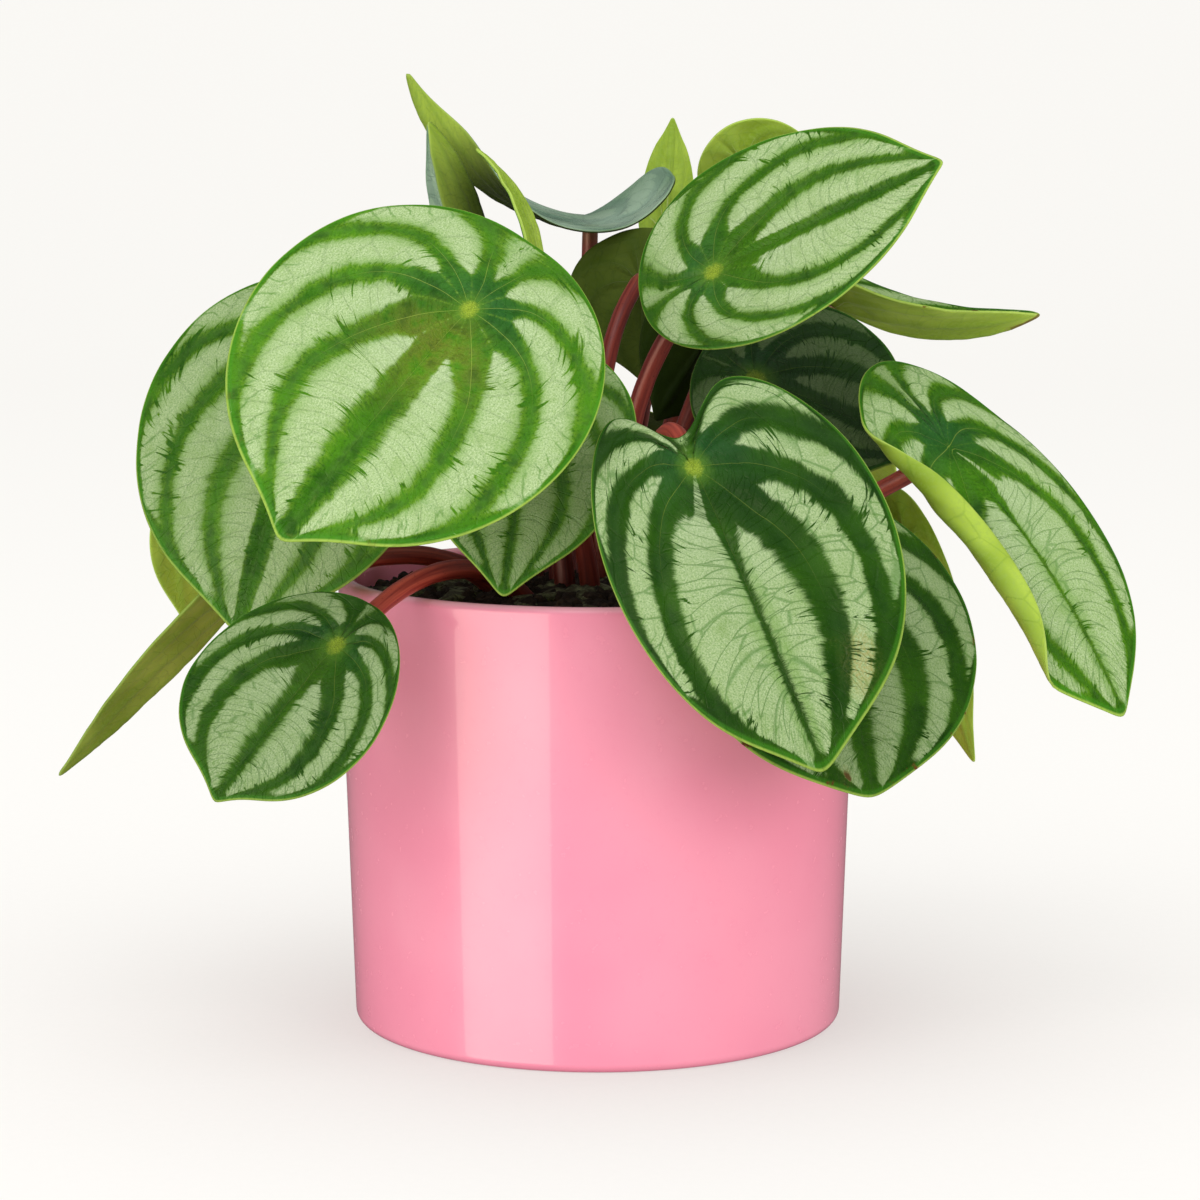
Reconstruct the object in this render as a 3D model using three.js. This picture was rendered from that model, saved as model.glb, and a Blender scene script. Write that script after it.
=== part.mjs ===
// Watermelon peperomia growing in a glazed cover pot.
// Millimetres, +Z up. The origin is the centre of the pot's foot, on the surface it stands on.
// The side seen in the photograph faces -Y, and +X is to the viewer's right.

import * as THREE from 'three';

// ---- pot ----
const POT_HEIGHT = 117;
const POT_TOP_RADIUS = 67.5;
const POT_FOOT_RADIUS = 63.8;
const POT_WALL = 4.4;
const POT_FLOOR = 7;
const FOOT_ROUNDING = 2.5;
const LIP_ROUNDING = 2;
const INNER_ROUNDING = 4;
const POT_SEGMENTS = 44;

// ---- soil ----
const SOIL_EDGE_HEIGHT = 111;
const SOIL_CENTRE_HEIGHT = 114;
const SOIL_RADIUS = 62;

// ---- leaves and petioles ----
const FIT_GAP = 0.3;
const HEAD_GAP = 0.45;
const LEAF_THICKNESS = 1;
const LEAF_RAYS = 24;
const LEAF_RINGS = 3;
const ROLLED_LEAF_RINGS = 5;
const ROLL_START = 0.55;
const PETIOLE_RADIUS = 2.4;
const PETIOLE_SIDES = 8;
const PETIOLE_STEPS = 8;

// One row for each leaf.
//   spot   where the petiole joins the blade, which is not at the blade's edge
//   tip    the pointed end of the blade
//   faces  the way the upper side looks
//   back   how far the blade reaches behind the spot
//   half   half width on either side of the midrib
//   point  length of the drawn-out tip, spread: how wide it starts (radians round the spot)
//   egg    moves the widest place toward the base (+) or the tip (-)
//   notch  depth of the notch behind the spot
//   fold, curl, roll   degrees that each half rises: at the midrib, evenly, and near its edge
//   furl, nape   degrees added to the fold at the tip and at the back end
//   bend   degrees that the midrib droops between spot and tip
//   swing, lift   sideways bow of the midrib, rise of the back end
//   root   where the petiole leaves the soil: distance from the pot's axis and heading
//   bow    the two points that pull the petiole into its curve
const LEAVES = [
  {
    name: 'front_left_large', spot: [-31, -58, 189], tip: [-75, -86, 136], faces: [-1, -10, 4],
    back: 26, half: [44, 46], point: 6, spread: 0.25, egg: 0.04, fold: [6, 6], curl: [-18, -18],
    bend: 20, root: [14, -125], bow: [[-12, -6, 170], [-26, -20, 204]],
  },
  {
    name: 'left_large', spot: [-70, -18, 176], tip: [-90, -40, 107], faces: [-2, -8, 2],
    back: 22, half: [38, 43], point: 6, spread: 0.3, egg: 0.05, fold: [5, 5], curl: [-20, -20],
    bend: 20, root: [24, -172], bow: [[-30, 0, 170], [-60, -4, 180]],
  },
  {
    name: 'front_left_small', spot: [-63, -72, 109], tip: [-91, -90, 74], faces: [-2, -8, 5],
    back: 14, half: [24, 28], point: 4, spread: 0.22, egg: -0.12, fold: [4, 4], curl: [-15, -15],
    bend: 15, root: [26, -128], bow: [[-28, -34, 130], [-48, -52, 126]],
  },
  {
    name: 'far_left_folded', spot: [-89, -14, 115], tip: [-138, -24, 68], faces: [-12, 1, 10],
    back: 16, half: [20, 20], point: 8, fold: [24, 24], bend: -10,
    root: [25, -150], bow: [[-40, -22, 134], [-64, -34, 124]],
  },
  {
    name: 'left_small', spot: [-95, 25, 133], tip: [-109, 25, 97], faces: [-3, 7, 3],
    back: 12, half: [22, 22], point: 5, fold: [5, 5], bend: 10,
    root: [25, 165], bow: [[-34, 10, 150], [-74, 10, 150]],
  },
  {
    name: 'front_middle', spot: [-16, -38, 165], tip: [-23, -60, 119], faces: [-1, -16, 8],
    back: 18, half: [27, 27], point: 6, egg: 0.12, fold: [5, 5], curl: [-10, -10],
    bend: 15, root: [15, -95], bow: [[-4, -16, 140], [-12, -26, 154]],
  },
  {
    name: 'upper_right', spot: [29, -15, 196], tip: [85, -35, 224], faces: [0, -7, 5],
    back: 21, half: [30, 25], point: 6, spread: 0.3, egg: 0.12, fold: [4, 4], curl: [-10, -10],
    root: [10, -40], bow: [[2, -6, 152], [14, 0, 180]],
  },
  {
    name: 'upper_right_behind', spot: [40, 45, 222], tip: [64, 60, 201], faces: [-2, 8, 4],
    back: 13, half: [16, 16], point: 5,
    root: [20, 65], bow: [[16, 46, 150], [38, 50, 196]],
  },
  {
    name: 'front_heart', spot: [23, -72, 152], tip: [53, -100, 83], faces: [1, -9, 2],
    back: 27, half: [40, 30], point: 6, egg: 0, notch: 18, notchSpread: 0.3, fold: [6, 6],
    curl: [-20, -20], bend: 25, root: [22, -70], bow: [[12, -28, 150], [17, -50, 172]],
  },
  {
    name: 'front_right_low', spot: [52, -58, 127], tip: [66, -80, 73], faces: [4, -8, 3],
    back: 22, half: [42, 44], point: 3, spread: 0.4, egg: 0, fold: [5, 5], curl: [-22, -6],
    bend: 24, root: [24, -40], bow: [[28, -22, 146], [44, -38, 140]],
  },
  {
    name: 'right_large', spot: [89, -24, 152.5], tip: [131.7, -42, 86.3], faces: [3, -7, 4],
    back: 30, half: [24, 26], point: 6, egg: -0.12, curl: [-20, 0], roll: [0, 230],
    bend: 24, swing: 2, root: [25, -18], bow: [[44, -15, 128], [77, -15, 141]],
  },
  {
    name: 'right_middle', spot: [41, 2, 168], tip: [84, -6, 149], faces: [1, -7, 5],
    back: 16, half: [29, 28], point: 7, egg: 0.05, fold: [5, 5], curl: [-10, -10],
    bend: 10, root: [18, 10], bow: [[26, 10, 140], [38, 14, 158]],
  },
  {
    name: 'right_reaching', spot: [64, 36, 185], tip: [117, 26, 183], faces: [0, 0, 1],
    back: 18, half: [20, 20], point: 1, spread: 0.5, fold: [25, 28], bend: -60,
    root: [22, 35], bow: [[34, 30, 150], [58, 36, 168]],
  },
  {
    name: 'top_saddle', spot: [-2, 52, 205.8], tip: [-51, 46, 246], faces: [8, -1.6, 30],
    back: 27, half: [16, 19], point: 12, egg: -0.02, fold: [0, 2], furl: [110, 60], nape: [-4, 48],
    bend: -75, lift: 8, root: [14, 110], bow: [[-6, 44, 150], [-2, 52, 190]],
  },
  {
    name: 'top_left_folded', spot: [-29, 14, 197], tip: [-44.5, 20, 233], faces: [-9, 0, -3],
    back: 10, half: [15, 13], point: 2, spread: 0.5, fold: [60, 40], bend: -40,
    root: [19, 150], bow: [[-20, 16, 150], [-18, 22, 185]],
  },
  {
    name: 'top_left_crescent', spot: [-16.5, 9, 196], tip: [-32, 15, 226], faces: [-9.7, 2.3, 0],
    back: 7, half: [8, 8], point: 6, egg: 0.1, bend: -50,
    root: [10, 170], bow: [[-12, 6, 150], [-8, 8, 184]],
  },
  {
    name: 'top_point', spot: [19, 82, 204], tip: [21, 88, 234], faces: [0, 8, 3],
    back: 12, half: [8, 8], point: 4, fold: [20, 20],
    root: [21, 82], bow: [[12, 46, 156], [18, 68, 184]],
  },
  {
    name: 'centre_behind', spot: [12, 36, 190], tip: [12, 26, 165], faces: [1, 8, 3],
    back: 16, half: [21, 21], point: 5, fold: [10, 10],
    root: [8, 75], bow: [[-4, 6, 160], [4, 18, 184]],
  },
  {
    name: 'centre_small', spot: [30, 18, 179], tip: [15, 8, 156], faces: [1, 8, 3],
    back: 14, half: [17, 17], point: 5, fold: [10, 10],
    root: [10, 15], bow: [[14, 2, 140], [28, 7, 163]],
  },
  {
    name: 'right_hanging', spot: [82, 4, 120], tip: [99, 0, 67], faces: [3, 8, 2],
    back: 20, half: [16, 9], point: 10, fold: [10, 10],
    root: [26, -2], bow: [[46, 0, 142], [72, -5, 136]],
  },
  {
    name: 'back_left', spot: [-45, 60, 165], tip: [-75, 95, 120], faces: [-3, 7, 6],
    back: 20, half: [32, 32], point: 8, egg: 0.1, fold: [5, 5], curl: [-15, -15],
    bend: 25, root: [22, 125], bow: [[-24, 34, 150], [-38, 44, 158]],
  },
  {
    name: 'back_middle', spot: [-2, 76, 146], tip: [-4, 112, 98], faces: [0, 7, 6],
    back: 18, half: [29, 29], point: 8, egg: 0.1, fold: [5, 5], curl: [-15, -15],
    bend: 25, root: [26, 104], bow: [[-8, 50, 130], [-2, 62, 136]],
  },
  {
    name: 'back_right', spot: [50, 60, 156], tip: [74, 94, 108], faces: [3, 7, 6],
    back: 18, half: [26, 26], point: 8, egg: 0.1, fold: [5, 5], curl: [-15, -15],
    bend: 25, root: [26, 52], bow: [[26, 36, 140], [42, 46, 148]],
  },
];

const LEAF_DEFAULTS = {
  spread: 0.35, egg: 0.12, notch: 0, notchSpread: 0.35, fold: [0, 0], curl: [0, 0],
  roll: [0, 0], furl: [0, 0], nape: [0, 0], bend: 0, swing: 0, lift: 0,
};
const TIP_PINCH = 0.45;

const radians = THREE.MathUtils.degToRad;

// Height of the soil at a distance from the pot's axis.
function soilHeight(radius) {
  const share = radius / SOIL_RADIUS;
  return SOIL_EDGE_HEIGHT + (SOIL_CENTRE_HEIGHT - SOIL_EDGE_HEIGHT) * (1 - share * share);
}

// Walks a distance along an arc that starts at a slope and turns steadily: [across, up].
function arcStep(slope, turn, distance) {
  if (Math.abs(turn) < 1e-6) {
    return [Math.cos(slope) * distance, Math.sin(slope) * distance];
  }
  const end = slope + turn * distance;
  return [(Math.sin(end) - Math.sin(slope)) / turn, (Math.cos(slope) - Math.cos(end)) / turn];
}

// Axes of a leaf at its spot, and the length of its midrib from spot to tip.
function leafFrame(leaf) {
  const spot = new THREE.Vector3(...leaf.spot);
  const chord = new THREE.Vector3(...leaf.tip).sub(spot);
  const span = chord.length();
  chord.normalize();
  const up = new THREE.Vector3(...leaf.faces);
  up.addScaledVector(chord, -up.dot(chord)).normalize();
  const side = new THREE.Vector3().crossVectors(up, chord);
  const halfBend = radians(leaf.bend) / 2;
  const along = chord.clone().multiplyScalar(Math.cos(halfBend));
  along.addScaledVector(up, Math.sin(halfBend));
  const normal = new THREE.Vector3().crossVectors(along, side);
  const length = span * (leaf.bend === 0 ? 1 : halfBend / Math.sin(halfBend));
  return { spot, along, side, normal, length };
}

// Outline of the flat blade, as a place [along, across] for an angle round it (0 is the tip).
function outline(leaf, length, angle) {
  const fromTip = Math.abs(angle);
  const toTip = Math.exp(-((fromTip / leaf.spread) ** 2));
  const toBack = Math.exp(-(((Math.PI - fromTip) / leaf.notchSpread) ** 2));
  const half = (length - leaf.point + leaf.back) / 2;
  const middle = (length - leaf.point - leaf.back) / 2;
  const width = Math.sin(angle) >= 0 ? leaf.half[0] : leaf.half[1];
  const along = middle + half * Math.cos(angle) + leaf.point * toTip + leaf.notch * toBack;
  const fullness = (1 - leaf.egg * Math.cos(angle)) * (1 - TIP_PINCH * toTip);
  return [along, width * Math.sin(angle) * fullness];
}

// Place on the shaped blade for a place on the flat one.
function shapeBlade(leaf, frame, along, across) {
  const i = across >= 0 ? 0 : 1;
  const width = leaf.half[i];
  const distance = Math.abs(across);
  const inner = Math.min(distance, ROLL_START * width);
  const outer = distance - inner;
  const share = along / frame.length;
  const toTip = Math.max(share, 0) ** 2;
  const toBack = Math.max(-along / leaf.back, 0);
  const slope = radians(leaf.fold[i] + leaf.furl[i] * toTip + leaf.nape[i] * toBack);
  const turn = radians(leaf.curl[i]) / Math.max(...leaf.half);
  const rollTurn = turn + radians(leaf.roll[i]) / ((1 - ROLL_START) * width);
  const first = arcStep(slope, turn, inner);
  const second = arcStep(slope + turn * inner, rollTurn, outer);
  let y = (first[0] + second[0]) * Math.sign(across);
  let z = first[1] + second[1];
  if (along > 0) {
    y += leaf.swing * 4 * share * (1 - share);
  } else {
    z += leaf.lift * (along / leaf.back) ** 2;
  }
  const bend = radians(leaf.bend) / frame.length;
  const midrib = arcStep(0, -bend, along);
  const x = midrib[0] + z * Math.sin(bend * along);
  const height = midrib[1] + z * Math.cos(bend * along);
  const place = frame.spot.clone().addScaledVector(frame.along, x);
  return place.addScaledVector(frame.side, y).addScaledVector(frame.normal, height);
}

// Triangles of a sheet that fans out from its first point into rings.
function fanTriangles(rays, rings, offset, flip) {
  const triangles = [];
  const add = (a, b, c) => triangles.push(...(flip ? [a, c, b] : [a, b, c]).map((n) => n + offset));
  const at = (ring, ray) => 1 + ring * rays + (ray % rays);
  for (let ray = 0; ray < rays; ray += 1) {
    add(0, at(0, ray), at(0, ray + 1));
    for (let ring = 0; ring < rings - 1; ring += 1) {
      add(at(ring, ray), at(ring + 1, ray), at(ring + 1, ray + 1));
      add(at(ring, ray), at(ring + 1, ray + 1), at(ring, ray + 1));
    }
  }
  return triangles;
}

// Closed blade: an upper sheet, the same sheet one thickness below it, and the edge between.
function leafGeometry(leaf) {
  const frame = leafFrame(leaf);
  const rolled = leaf.roll.some((angle) => angle !== 0);
  const rings = rolled ? ROLLED_LEAF_RINGS : LEAF_RINGS;
  const places = [frame.spot.clone()];
  for (let ring = 1; ring <= rings; ring += 1) {
    for (let ray = 0; ray < LEAF_RAYS; ray += 1) {
      const angle = (ray / LEAF_RAYS) * 2 * Math.PI - Math.PI;
      const [along, across] = outline(leaf, frame.length, angle);
      places.push(shapeBlade(leaf, frame, (along * ring) / rings, (across * ring) / rings));
    }
  }
  const count = places.length;
  const upper = new THREE.BufferGeometry().setFromPoints(places);
  upper.setIndex(fanTriangles(LEAF_RAYS, rings, 0, false));
  upper.computeVertexNormals();
  const normals = upper.getAttribute('normal');
  const lower = places.map((place, n) => {
    const normal = new THREE.Vector3().fromBufferAttribute(normals, n);
    return place.clone().addScaledVector(normal, -LEAF_THICKNESS);
  });
  const triangles = fanTriangles(LEAF_RAYS, rings, 0, false);
  triangles.push(...fanTriangles(LEAF_RAYS, rings, count, true));
  const rim = count - LEAF_RAYS;
  for (let ray = 0; ray < LEAF_RAYS; ray += 1) {
    const a = rim + ray;
    const b = rim + ((ray + 1) % LEAF_RAYS);
    triangles.push(a, a + count, b + count, a, b + count, b);
  }
  const blade = new THREE.BufferGeometry().setFromPoints([...places, ...lower]);
  blade.setIndex(triangles);
  blade.computeVertexNormals();
  return blade;
}

// Round stalk from just above the soil to just under the blade's spot.
function petioleGeometry(leaf) {
  const frame = leafFrame(leaf);
  const [radius, heading] = leaf.root;
  const foot = new THREE.Vector3(
    radius * Math.cos(radians(heading)),
    radius * Math.sin(radians(heading)),
    soilHeight(radius),
  );
  const [lower, upper] = leaf.bow.map((point) => new THREE.Vector3(...point));
  const leaving = lower.clone().sub(foot).normalize();
  const arriving = frame.spot.clone().sub(upper).normalize();
  const footTilt = Math.hypot(leaving.x, leaving.y);
  const headTilt = new THREE.Vector3().crossVectors(arriving, frame.normal).length();
  foot.z += FIT_GAP + PETIOLE_RADIUS * footTilt;
  const headDrop = LEAF_THICKNESS + HEAD_GAP + PETIOLE_RADIUS * headTilt;
  const head = frame.spot.clone().addScaledVector(frame.normal, -headDrop);
  const path = new THREE.CubicBezierCurve3(foot, lower, upper, head);
  const section = new THREE.Shape();
  section.absarc(0, 0, PETIOLE_RADIUS, 0, 2 * Math.PI);
  return new THREE.ExtrudeGeometry(section, {
    extrudePath: path,
    steps: PETIOLE_STEPS,
    curveSegments: PETIOLE_SIDES / 2,
    bevelEnabled: false,
  });
}

// Quarter-round corner of a lathe profile, between two angles in degrees.
function corner(x, z, radius, from, to, steps) {
  const points = [];
  for (let n = 0; n <= steps; n += 1) {
    const angle = radians(from + ((to - from) * n) / steps);
    points.push(new THREE.Vector2(x + radius * Math.cos(angle), z + radius * Math.sin(angle)));
  }
  return points;
}

// A profile turned round the pot's upright axis.
function turned(profile, segments) {
  const geometry = new THREE.LatheGeometry(profile, segments);
  return geometry.rotateX(Math.PI / 2);
}

// Inner radius of the pot at a height, measured to the glaze.
function innerRadius(height) {
  const slope = (POT_TOP_RADIUS - POT_FOOT_RADIUS) / POT_HEIGHT;
  return POT_FOOT_RADIUS - POT_WALL + slope * height;
}

function potGeometry() {
  const lipMiddle = POT_TOP_RADIUS - POT_WALL / 2;
  const lipReach = POT_WALL / 2;
  const lip = [];
  for (const degrees of [0, 35, 65, 90, 115, 145, 180]) {
    const angle = radians(degrees);
    lip.push(new THREE.Vector2(
      lipMiddle + lipReach * Math.cos(angle),
      POT_HEIGHT - LIP_ROUNDING + LIP_ROUNDING * Math.sin(angle),
    ));
  }
  const footCorner = corner(
    POT_FOOT_RADIUS - FOOT_ROUNDING, FOOT_ROUNDING, FOOT_ROUNDING, -90, 0, 3,
  );
  const floorEdge = innerRadius(POT_FLOOR + INNER_ROUNDING) - INNER_ROUNDING;
  const floorCorner = corner(
    floorEdge, POT_FLOOR + INNER_ROUNDING, INNER_ROUNDING, 0, -90, 3,
  );
  const profile = [
    new THREE.Vector2(0, 0),
    ...footCorner,
    ...lip,
    ...floorCorner,
    new THREE.Vector2(0, POT_FLOOR),
  ];
  return turned(profile, POT_SEGMENTS);
}

function soilGeometry() {
  const bottom = POT_FLOOR + FIT_GAP;
  const chamfer = INNER_ROUNDING;
  const profile = [
    new THREE.Vector2(0, bottom),
    new THREE.Vector2(innerRadius(bottom) - chamfer - FIT_GAP, bottom),
    new THREE.Vector2(innerRadius(bottom + chamfer) - 2 * FIT_GAP, bottom + chamfer),
    new THREE.Vector2(innerRadius(SOIL_EDGE_HEIGHT) - 2 * FIT_GAP, SOIL_EDGE_HEIGHT),
  ];
  for (const share of [0.75, 0.5, 0.25]) {
    const radius = SOIL_RADIUS * share;
    profile.push(new THREE.Vector2(radius, soilHeight(radius)));
  }
  profile.push(new THREE.Vector2(0, SOIL_CENTRE_HEIGHT));
  return turned(profile, POT_SEGMENTS);
}

function material(color, roughness) {
  return new THREE.MeshStandardMaterial({ color, roughness, metalness: 0 });
}

function named(name, geometry, surface) {
  const mesh = new THREE.Mesh(geometry, surface);
  mesh.name = name;
  return mesh;
}

const plant = new THREE.Group();
plant.name = 'potted_peperomia';
plant.add(named('pot', potGeometry(), material(0xf799b0, 0.12)));
plant.add(named('soil', soilGeometry(), material(0x1c140d, 0.95)));

for (const row of LEAVES) {
  const leaf = { ...LEAF_DEFAULTS, ...row };
  plant.add(named(`leaf_${leaf.name}`, leafGeometry(leaf), material(0x5b9a47, 0.4)));
  plant.add(named(`petiole_${leaf.name}`, petioleGeometry(leaf), material(0x963836, 0.45)));
}

export default plant;
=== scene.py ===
# %% [markdown]
# # A potted peperomia
#
# The plant is a watermelon peperomia: round leaves with silver stripes, each on its own red stalk,
# growing from dark potting mix in a glazed pink cover pot. Every leaf is joined to its stalk at a
# yellow spot that lies inside the blade, and the veins fan out from that spot and meet again at
# the tip.
#
# The CAD frame says where each piece is. This script gives every piece its fine shape and its
# finish. Places and sizes in the tables are millimetres, and MM turns them into Blender's metres.

# %% Load the frame
import math

import bmesh
import bpy
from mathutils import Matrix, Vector
from mathutils.noise import fractal


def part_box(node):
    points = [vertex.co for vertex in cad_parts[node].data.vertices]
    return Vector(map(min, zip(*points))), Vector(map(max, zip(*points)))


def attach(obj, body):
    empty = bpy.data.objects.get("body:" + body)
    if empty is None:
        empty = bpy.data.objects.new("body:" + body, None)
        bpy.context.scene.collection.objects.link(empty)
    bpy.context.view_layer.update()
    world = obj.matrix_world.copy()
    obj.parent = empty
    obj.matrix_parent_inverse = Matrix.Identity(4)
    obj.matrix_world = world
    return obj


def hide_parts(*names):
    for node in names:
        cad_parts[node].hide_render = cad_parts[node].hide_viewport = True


MM = 0.001
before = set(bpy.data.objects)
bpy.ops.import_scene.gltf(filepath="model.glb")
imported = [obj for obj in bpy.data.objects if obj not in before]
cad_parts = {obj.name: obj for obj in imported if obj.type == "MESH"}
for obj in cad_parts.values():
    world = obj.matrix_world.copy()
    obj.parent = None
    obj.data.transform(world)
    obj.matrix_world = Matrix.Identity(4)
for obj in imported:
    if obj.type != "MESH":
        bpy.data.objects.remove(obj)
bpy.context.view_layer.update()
print("CAD nodes:", len(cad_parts))

# %% [markdown]
# ## The camera
#
# A long lens far away keeps the pot's sides nearly parallel, as in the photograph. The camera
# could be aimed with a Track To constraint, but a plain tilt is enough, because it stands straight
# in front.

# %% Place the camera
def in_scene(name, data):
    """Makes an object of a mesh, a light or a camera, and puts it in the scene."""
    thing = bpy.data.objects.new(name, data)
    bpy.context.scene.collection.objects.link(thing)
    return thing


CAMERA_PLACE = (0.6, -930, 238)
CAMERA_TILT_DOWN = 7.85
CAMERA_LENS = 108
CAMERA_SENSOR = 36

camera_data = bpy.data.cameras.new("camera")
camera_data.lens = CAMERA_LENS
camera_data.sensor_width = CAMERA_SENSOR
camera_data.clip_end = 50
camera = in_scene("camera", camera_data)
camera.location = Vector(CAMERA_PLACE) * MM
camera.rotation_euler = (math.radians(90 - CAMERA_TILT_DOWN), 0, 0)
bpy.context.scene.camera = camera
bpy.context.scene.view_settings.view_transform = "Standard"
print("camera is", round(camera.location.length / MM), "mm from the pot's foot")

# %% [markdown]
# ## Writing formulas as nodes
#
# A leaf's outline, its curl and its stripes all follow formulas. Nodes can hold a formula, but one
# Math node at a time is slow to write. The small class here wraps a socket, so that a + b or
# sin(a) adds the Math node and links it. Geometry trees and shader trees share these nodes, so one
# helper serves both.

# %% Wires: arithmetic on sockets
class Wire:
    """A number or a vector on its way through a node tree."""

    def __init__(self, tree, socket):
        self.tree = tree
        self.socket = socket

    def __add__(self, other):
        return maths(self.tree, "ADD", self, other)

    def __sub__(self, other):
        return maths(self.tree, "SUBTRACT", self, other)

    def __rsub__(self, other):
        return maths(self.tree, "SUBTRACT", other, self)

    def __mul__(self, other):
        return maths(self.tree, "MULTIPLY", self, other)

    def __truediv__(self, other):
        return maths(self.tree, "DIVIDE", self, other)

    def __rtruediv__(self, other):
        return maths(self.tree, "DIVIDE", other, self)

    def __neg__(self):
        return self * -1.0

    __radd__ = __add__
    __rmul__ = __mul__


def put(tree, value, socket):
    """Sends a wire or a plain value to an input socket. None leaves the socket as it is."""
    if isinstance(value, Wire):
        tree.links.new(value.socket, socket)
    elif value is not None:
        socket.default_value = value


def add_node(tree, kind, out=0, properties=None, **values):
    """Adds a node, sets its properties, fills its named inputs and returns one output."""
    node = tree.nodes.new(kind)
    for name, value in (properties or {}).items():
        setattr(node, name, value)
    for name, value in values.items():
        put(tree, value, node.inputs[name.replace("_", " ").title()])
    return Wire(tree, node.outputs[out])


def maths(tree, operation, *values):
    node = tree.nodes.new("ShaderNodeMath")
    node.operation = operation
    for value, socket in zip(values, node.inputs):
        put(tree, value, socket)
    return Wire(tree, node.outputs[0])


def node_maths(operation):
    """A function that adds one Math node and gives back its result."""
    return lambda first, *others: maths(first.tree, operation, first, *others)


sin, cos, exp = node_maths("SINE"), node_maths("COSINE"), node_maths("EXPONENT")
size_of, root, fraction = node_maths("ABSOLUTE"), node_maths("SQRT"), node_maths("FRACT")
smaller, larger, above = node_maths("MINIMUM"), node_maths("MAXIMUM"), node_maths("GREATER_THAN")
power, heading, logarithm = node_maths("POWER"), node_maths("ARCTAN2"), node_maths("LOGARITHM")


def step(a, start, end):
    """0 below start, 1 past end, and a smooth rise between them. start may be the larger one."""
    return add_node(a.tree, "ShaderNodeMapRange", 0, {"interpolation_type": "SMOOTHSTEP"},
                    value=a, from_min=start, from_max=end)


def between(a, b, share):
    """a where share is 0, b where it is 1."""
    return share * (b - a) + a


# %% Wires: vectors
def vector(tree, x, y, z):
    return add_node(tree, "ShaderNodeCombineXYZ", x=x, y=y, z=z)


def parts(wire):
    node = wire.tree.nodes.new("ShaderNodeSeparateXYZ")
    put(wire.tree, wire, node.inputs[0])
    return [Wire(wire.tree, socket) for socket in node.outputs]


def vector_maths(operation, first, second=None, factor=None, out="Vector"):
    node = first.tree.nodes.new("ShaderNodeVectorMath")
    node.operation = operation
    for value, socket in zip((first, second, None, factor), node.inputs):
        put(first.tree, value, socket)
    return Wire(first.tree, node.outputs[out])


def scaled(wire, factor):
    return vector_maths("SCALE", wire, factor=factor)


def joined(first, second):
    return vector_maths("ADD", first, second)


def unit(wire):
    return vector_maths("NORMALIZE", wire)


def length_of(wire):
    return vector_maths("LENGTH", wire, out="Value")


# %% An empty tree to fill
NUMBER = "NodeSocketFloat"
WHOLE = "NodeSocketInt"
VECTOR = "NodeSocketVector"
MATERIAL = "NodeSocketMaterial"
GEOMETRY = "NodeSocketGeometry"


def new_tree(name, kind, inputs, outputs):
    """An empty tree with named inputs and outputs, each with its socket type."""
    tree = bpy.data.node_groups.new(name, kind)
    for direction, sockets in (("INPUT", inputs), ("OUTPUT", outputs)):
        for label, socket_type in sockets.items():
            tree.interface.new_socket(label, in_out=direction, socket_type=socket_type)
    entry = tree.nodes.new("NodeGroupInput")
    leaving = tree.nodes.new("NodeGroupOutput")
    wires = {socket.name: Wire(tree, socket) for socket in entry.outputs if socket.name}
    return tree, wires, leaving

# %% [markdown]
# ## How the veins run
#
# The veins leave the spot in all directions and bend round towards the tip, more and more as they
# near the edge. Drawing them one by one as curves would work for one leaf, but a formula serves
# them all: it gives each place on the blade the heading at which its vein left the spot. The leaf
# keeps that heading as an attribute, so the ridges in the mesh and the stripes in the finish
# always agree.

# %% The vein field
NEWTON_STEPS = 4
LEAST_CHANGE = 0.12
SIDE_VEINS = 3.1
BACK_VEINS = 1.2


def vein_heading(reach, angle):
    """Heading at the spot of the vein through a place, by four steps of Newton's method.

    A vein that leaves the spot at a heading has turned by sin(heading) * (0.7 + 0.3 heading) when
    it reaches the edge, and by less before that, as the cube of its reach."""
    pull = reach * reach * reach
    heading_there = angle
    for _ in range(NEWTON_STEPS):
        strength = heading_there * 0.3 + 0.7
        turned_by = sin(heading_there) * strength * pull
        change = 1.0 - (cos(heading_there) * strength + sin(heading_there) * 0.3) * pull
        miss = heading_there - turned_by - angle
        heading_there = heading_there - miss / larger(change, LEAST_CHANGE)
    return smaller(larger(heading_there, 0.0), math.pi)


def vein_number(share):
    """0 on the midrib, 1 on the first side vein, and so on. share is the heading, 1 at the back."""
    return share * SIDE_VEINS + power(share, 5.0) * BACK_VEINS


def off_vein(number):
    """0 on a main vein and 1 halfway to the next."""
    return size_of(fraction(number + 0.5) * 2.0 - 1.0)


def along_veins(x, y):
    """A measure that grows along every vein, from the spot to the tip."""
    reach_squared = x * x + y * y
    to_tip_squared = (1.0 - x) * (1.0 - x) + y * y
    return (logarithm(reach_squared + 0.003, math.e) * 0.5
            - logarithm(to_tip_squared + 0.02, math.e) * 0.6)


# %% [markdown]
# ## Finishes for the leaves
#
# The upper side is satin, with dark green bands along the veins, silver between them, thin cross
# veins, a yellow spot and a thin yellow-green edge. A picture could be painted for each leaf, but
# formulas stay sharp at any distance and give each leaf its own pattern from one seed. The pattern
# is a node group, so both sides of the leaf can use it: the underside shows the same veins,
# without the silver.

# %% Helpers for finishes
def colour(code):
    """A web colour as the linear values that shaders use."""
    values = [int(code[i:i + 2], 16) / 255 for i in (1, 3, 5)]
    linear = [v / 12.92 if v <= 0.04045 else ((v + 0.055) / 1.055) ** 2.4 for v in values]
    return (*linear, 1.0)


def attribute(tree, name):
    return add_node(tree, "ShaderNodeAttribute", "Vector", {"attribute_name": name})


def object_place(tree):
    return add_node(tree, "ShaderNodeTexCoord", "Object")


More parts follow.
